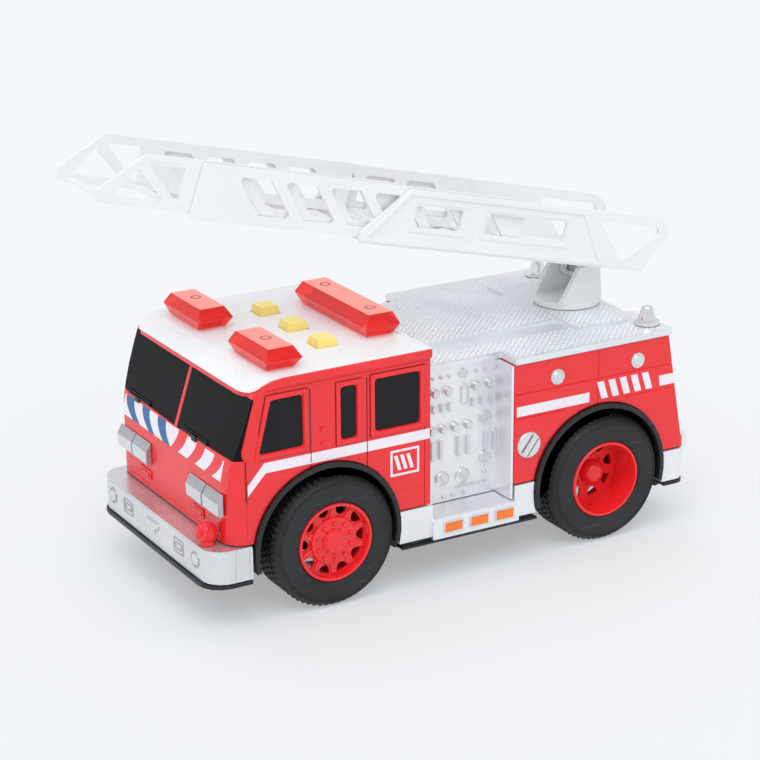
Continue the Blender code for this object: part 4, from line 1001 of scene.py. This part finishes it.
def build_bumper_details():
    """Fog lamps, outlined plates and a tow bracket on the front bumper, and ribs at its corners."""
    shape, dark = bmesh.new(), bmesh.new()
    face = BUMPER_HIGH.x
    middle_z = (BUMPER_HIGH.z + BUMPER_LOW.z) / 2 + 0.6
    for side in (-1, 1):
        lamp = turned(Matrix.Translation((face - 0.4, side * 49.0, middle_z)), 90, "Y")
        lathe(shape, [(0, 1.5), (2.4, 1.4), (3.2, 0.9), (3.6, 0.0), (0, 0)], 32, lamp)
        lathe(dark, [(4.3, 0.0), (4.3, 0.75), (3.7, 0.75), (3.7, 0.0)], 32, lamp, closed=True)
        plate = side * 30.0
        for half_y, half_z in ((5.4, 3.9), (3.4, 1.9)):
            outer = centred_box(plate, middle_z, half_y, half_z, 0.4)
            inner = centred_box(plate, middle_z, half_y - 0.5, half_z - 0.5, 0.3)
            slab(dark, [outer, inner], "YZ", face - SINK, face + 0.3)
    bars = (
        (shape, 7.0, 0.6, 3.2, 0.5, 1.1),
        (shape, 3.0, -3.6, 0.9, 0.5, 0.8),
        (dark, 7.0, -0.1, 0.4, 0.2, 0.3),
    )
    for target, half_y, low, high, radius, proud in bars:
        outline = round_box(-half_y, half_y, middle_z + low, middle_z + high, radius)
        slab(target, [outline], "YZ", face - SINK, face + proud)
    for z in (BUMPER_LOW.z + 0.9, BUMPER_HIGH.z - 1.9):
        slab(shape, [round_box(-53.0, 53.0, z, z + 0.9, 0.4)], "YZ", face - SINK, face + 0.25)
    for side in (-1, 1):
        for x, width in ((BUMPER_LOW.x + 0.2, 1.4), (117.6, 1.6)):
            rib = round_box(x, x + width, BUMPER_LOW.z + 0.6, BUMPER_HIGH.z - 0.8, 0.5)
            side_slab(shape, [rib], side, 0.6, SINK, BUMPER_HIGH.y)
    piece("bumper_fittings", shape, "trim", bevel=0.12)
    piece("bumper_outlines", dark, "lamp_face")


# Roof


def build_roof_details():
    """Studs and a ridge on the roof, the edge round it and the insides of its lights."""
    roof_top = corner("cab_roof", 1).z
    shape = bmesh.new()
    for side in (-1, 1):
        for index in range(5):
            y = side * (8.0 + index * 10.0)
            place = Matrix.Translation((103.0, y, roof_top - 1.95))
            lathe(shape, [(0, 0.5), (0.9, 0.35), (1.3, -0.3), (1.3, -1.4), (0, -1.4)], 12, place)
    low_x = corner("cab_roof", 0).x
    ridge = round_box(low_x + 1.0, low_x + 2.2, -60.0, 60.0, 0.5)
    slab(shape, [ridge], "XY", roof_top - SINK, roof_top + 0.35)
    piece("roof_trim", shape, "white")
    shape = bmesh.new()
    gutter(shape)
    piece("roof_gutter", shape, "red", bevel=0.3)
    for label in LIGHTS:
        build_lamp(label, 2 if label == "rear_light_bar" else 1)


def gutter(shape):
    """The rolled edge round the roof: high along the sides and low over the windscreen."""
    side = SIDE_Y + 1.0
    width, roof_middle_x = 3.6, 40.0
    high = corner("cab_roof", 1).z - 0.35
    low = corner("cab_roof", 0).z - 0.1
    front = corner("cab_roof", 1).x - 0.3
    half = [
        (CAB_LOW.x - 0.6, side, high - 4.4, high), (60.0, side, high - 4.4, high),
        (91.0, side, high - 4.5, high - 0.1), (97.5, side - 0.2, high - 5.2, high - 1.0),
        (102.5, side - 1.2, high - 6.3, high - 2.8), (106.6, side - 3.6, high - 7.4, high - 4.5),
        (109.3, side - 7.4, low - 2.3, low + 0.9), (front - 0.2, side - 11.6, low - 2.4, low),
        (front, 30.0, low - 2.4, low - 0.1), (front, 0.0, low - 2.4, low - 0.1),
    ]
    stations = half + [(x, -y, bottom, top) for x, y, bottom, top in reversed(half[:-1])]
    rings = []
    for index, (x, y, bottom, top) in enumerate(stations):
        before = Vector(stations[max(index - 1, 0)][:2])
        after = Vector(stations[min(index + 1, len(stations) - 1)][:2])
        way = (after - before).normalized()
        inward = Vector((-way.y, way.x)) * width
        if inward.dot(Vector((roof_middle_x - x, -y))) < 0:
            inward = -inward
        inner = Vector((x, y)) + inward
        points = ((x, y, bottom), (x, y, top), (inner.x, inner.y, top), (inner.x, inner.y, bottom))
        rings.append([shape.verts.new(point) for point in points])
    skin(shape, rings)


def build_lamp(label, count):
    """A reflector under a red lens, and one or two screw rings on top of it."""
    low, high = box_of(label)
    middle = (low + high) / 2
    half_x, half_y = (high.x - low.x) / 2, (high.y - low.y) / 2
    reflector = bmesh.new()
    base = low.z + 0.8
    rows = ((0.50, 0.72, base), (0.62, 0.80, base + 3.4), (0.30, 0.55, high.z - 3.2))
    rings = []
    for share_x, share_y, z in rows:
        x, y = half_x * share_x, half_y * share_y
        corners = ((-x, -y), (x, -y), (x, y), (-x, y))
        rings.append([reflector.verts.new((middle.x + dx, middle.y + dy, z)) for dx, dy in corners])
    skin(reflector, rings)
    piece(label + "_reflector", reflector, "lamp", bevel=0.3)
    ring = bmesh.new()
    spots = (0.0,) if count == 1 else (-half_y * 0.62, half_y * 0.62)
    for offset in spots:
        y = middle.y + offset - (3.5 if count == 1 and middle.y < 0 else 0)
        place = Matrix.Translation((middle.x - 0.6, y, high.z - 0.05))
        lathe(ring, [(3.0, -0.1), (3.0, 0.14), (2.0, 0.14), (2.0, -0.1)], 28, place, closed=True)
    piece(label + "_screw_ring", ring, "grey")


# Ladder


def ladder_matrix():
    """Local X runs up the ladder and local Z away from it, from the hinge pin."""
    hinge = Vector(JOINTS["ladder_raise"]["pos_m"]) / MM
    axis = Vector(JOINTS["middle_section_slide"]["axis"])
    tilt = atan2(axis.z, axis.x)
    return Matrix.Translation(hinge) @ Matrix.Rotation(-tilt, 4, "Y")


def build_ladder_trim():
    """Raised borders on the base section's sides and a ridge on the fly section's."""
    place = ladder_matrix()
    half = corner("ladder_base", 1).y
    shape = bmesh.new()
    outer = [(8.0, 9.3), (161.4, 9.3), (136.6, 37.2), (26.0, 37.2)]
    inner = [(11.6, 11.3), (157.0, 11.3), (135.7, 35.3), (27.2, 35.3)]
    frames = []
    for start, end in ((36.5, 88.0), (103.0, 131.5)):
        frame_outer = round_box(start - 2.6, end + 2.6, 16.6, 33.0, 1.0)
        frame_inner = round_box(start - 1.2, end + 1.2, 18.0, 31.6, 0.8)
        frames.append([frame_outer, frame_inner])
    for side in (-1, 1):
        side_slab(shape, [outer, inner], side, 0.6, SINK, half, place)
        for outlines in frames:
            side_slab(shape, outlines, side, 0.35, SINK, half, place)
    piece("ladder_base_border", shape, "ladder", "ladder_base", bevel=0.2)
    shape = bmesh.new()
    half = corner("ladder_fly", 1).y
    ridge = [(262.0, 36.6), (282.6, 36.6), (282.0, 38.2), (262.0, 38.2)]
    for side in (-1, 1):
        side_slab(shape, [ridge], side, 0.2, SINK, half, place)
    piece("ladder_fly_ridge", shape, "ladder", "ladder_fly", bevel=0.1)


# Rear


def build_rear():
    """A ribbed shutter between two rails, and a handle in a panel on each side of it."""
    top_x, bottom_x = -141.1, BODY_LOW.x
    top_z, bottom_z = BODY_HIGH.z, BODY_LOW.z
    tilt = atan2(bottom_x - top_x, top_z - bottom_z)
    shape = bmesh.new()

    def at(z):
        """A matrix on the sloping rear face at a height."""
        share = (top_z - z) / (top_z - bottom_z)
        x = top_x + (bottom_x - top_x) * share
        return Matrix.Translation((x, 0, z)) @ Matrix.Rotation(-tilt, 4, "Y")

    for index in range(9):
        z = 60.0 + index * 4.6
        block(shape, (-0.6, -33.0, -1.6), (0.4, 33.0, 1.6), at(z))
    for side in (-1, 1):
        low, high = span(side, 34.6, 37.0)
        block(shape, (-0.9, low, -23.0), (0.4, high, 20.5), at(79.4))
        low, high = span(side, 42.0, 60.0)
        block(shape, (-0.6, low, -12.0), (0.4, high, 12.0), at(88.0))
        block(shape, (-1.6, side * 51 - 1.2, -7.0), (0.0, side * 51 + 1.2, 7.0), at(88.0))
    piece("rear_shutter", shape, "red", bevel=0.35)


# Stage


FLOOR_HALF_M = 30.0
SKY, SKY_STRENGTH = (0.955, 0.975, 1.0, 1.0), 0.85
SUN_STRENGTH, SUN_DEGREES, SUN_FROM = 1.15, 50, (0.35, 0.5, 1.0)
CAMERA_M, LENS_MM, SENSOR_MM = (0.5861, 1.0132, 0.4998), 111.1, 36.0
YAW, PITCH, ROLL = radians(59.90), radians(19.30), radians(0.36)


def make_stage():
    """A pale floor, an even sky and one soft sun."""
    shape = bmesh.new()
    bmesh.ops.create_grid(shape, x_segments=1, y_segments=1, size=FLOOR_HALF_M)
    add_mesh("floor", shape, stage_material())
    world = bpy.data.worlds.new("studio")
    bpy.context.scene.world = world
    world.use_nodes = True
    background = world.node_tree.nodes["Background"]
    adjust(background, Color=SKY, Strength=SKY_STRENGTH)
    data = bpy.data.lights.new("key", "SUN")
    data.energy = SUN_STRENGTH
    data.angle = radians(SUN_DEGREES)
    lamp = add_object("key", data)
    lamp.rotation_euler = Vector(SUN_FROM).to_track_quat("Z", "Y").to_euler()


def stage_material():
    """A pale floor that glows a little, so that it reads as a lit backdrop."""
    made, tree, shader = blank_material("floor_pale")
    cloud = node(tree, "ShaderNodeTexNoise", Scale=2.0, Detail=2.0)
    tint = ramp(tree, cloud.outputs["Fac"], (0.48, 0.49, 0.50), (0.50, 0.51, 0.52))
    link(tint, "Color", shader, "Base Color")
    link(tint, "Color", shader, "Emission Color")
    adjust(shader, Emission_Strength=0.72, Roughness=0.7, Specular_IOR_Level=0.2)
    return made


def make_camera():
    """A long lens from the front left, about 19 degrees above the ground."""
    data = bpy.data.cameras.new("camera")
    data.sensor_width = SENSOR_MM
    data.lens = LENS_MM
    camera = add_object("camera", data)
    camera.location = CAMERA_M
    back = Vector((*polar(cos(PITCH), YAW), sin(PITCH)))
    aim = (-back).to_track_quat("-Z", "Y").to_matrix()
    camera.rotation_euler = (aim @ Matrix.Rotation(-ROLL, 3, "Z")).to_euler()
    bpy.context.scene.camera = camera


make_materials()
dress_cad_nodes()
build_wheels()
build_cab_sides()
build_pump_panels()
build_step_reflectors()
build_tread()
build_front_pattern()
build_headlights()
build_front_details()
build_roof_details()
build_ladder_trim()
build_rear()
make_stage()
make_camera()
bpy.context.scene.view_settings.view_transform = "Standard"
bpy.context.view_layer.update()
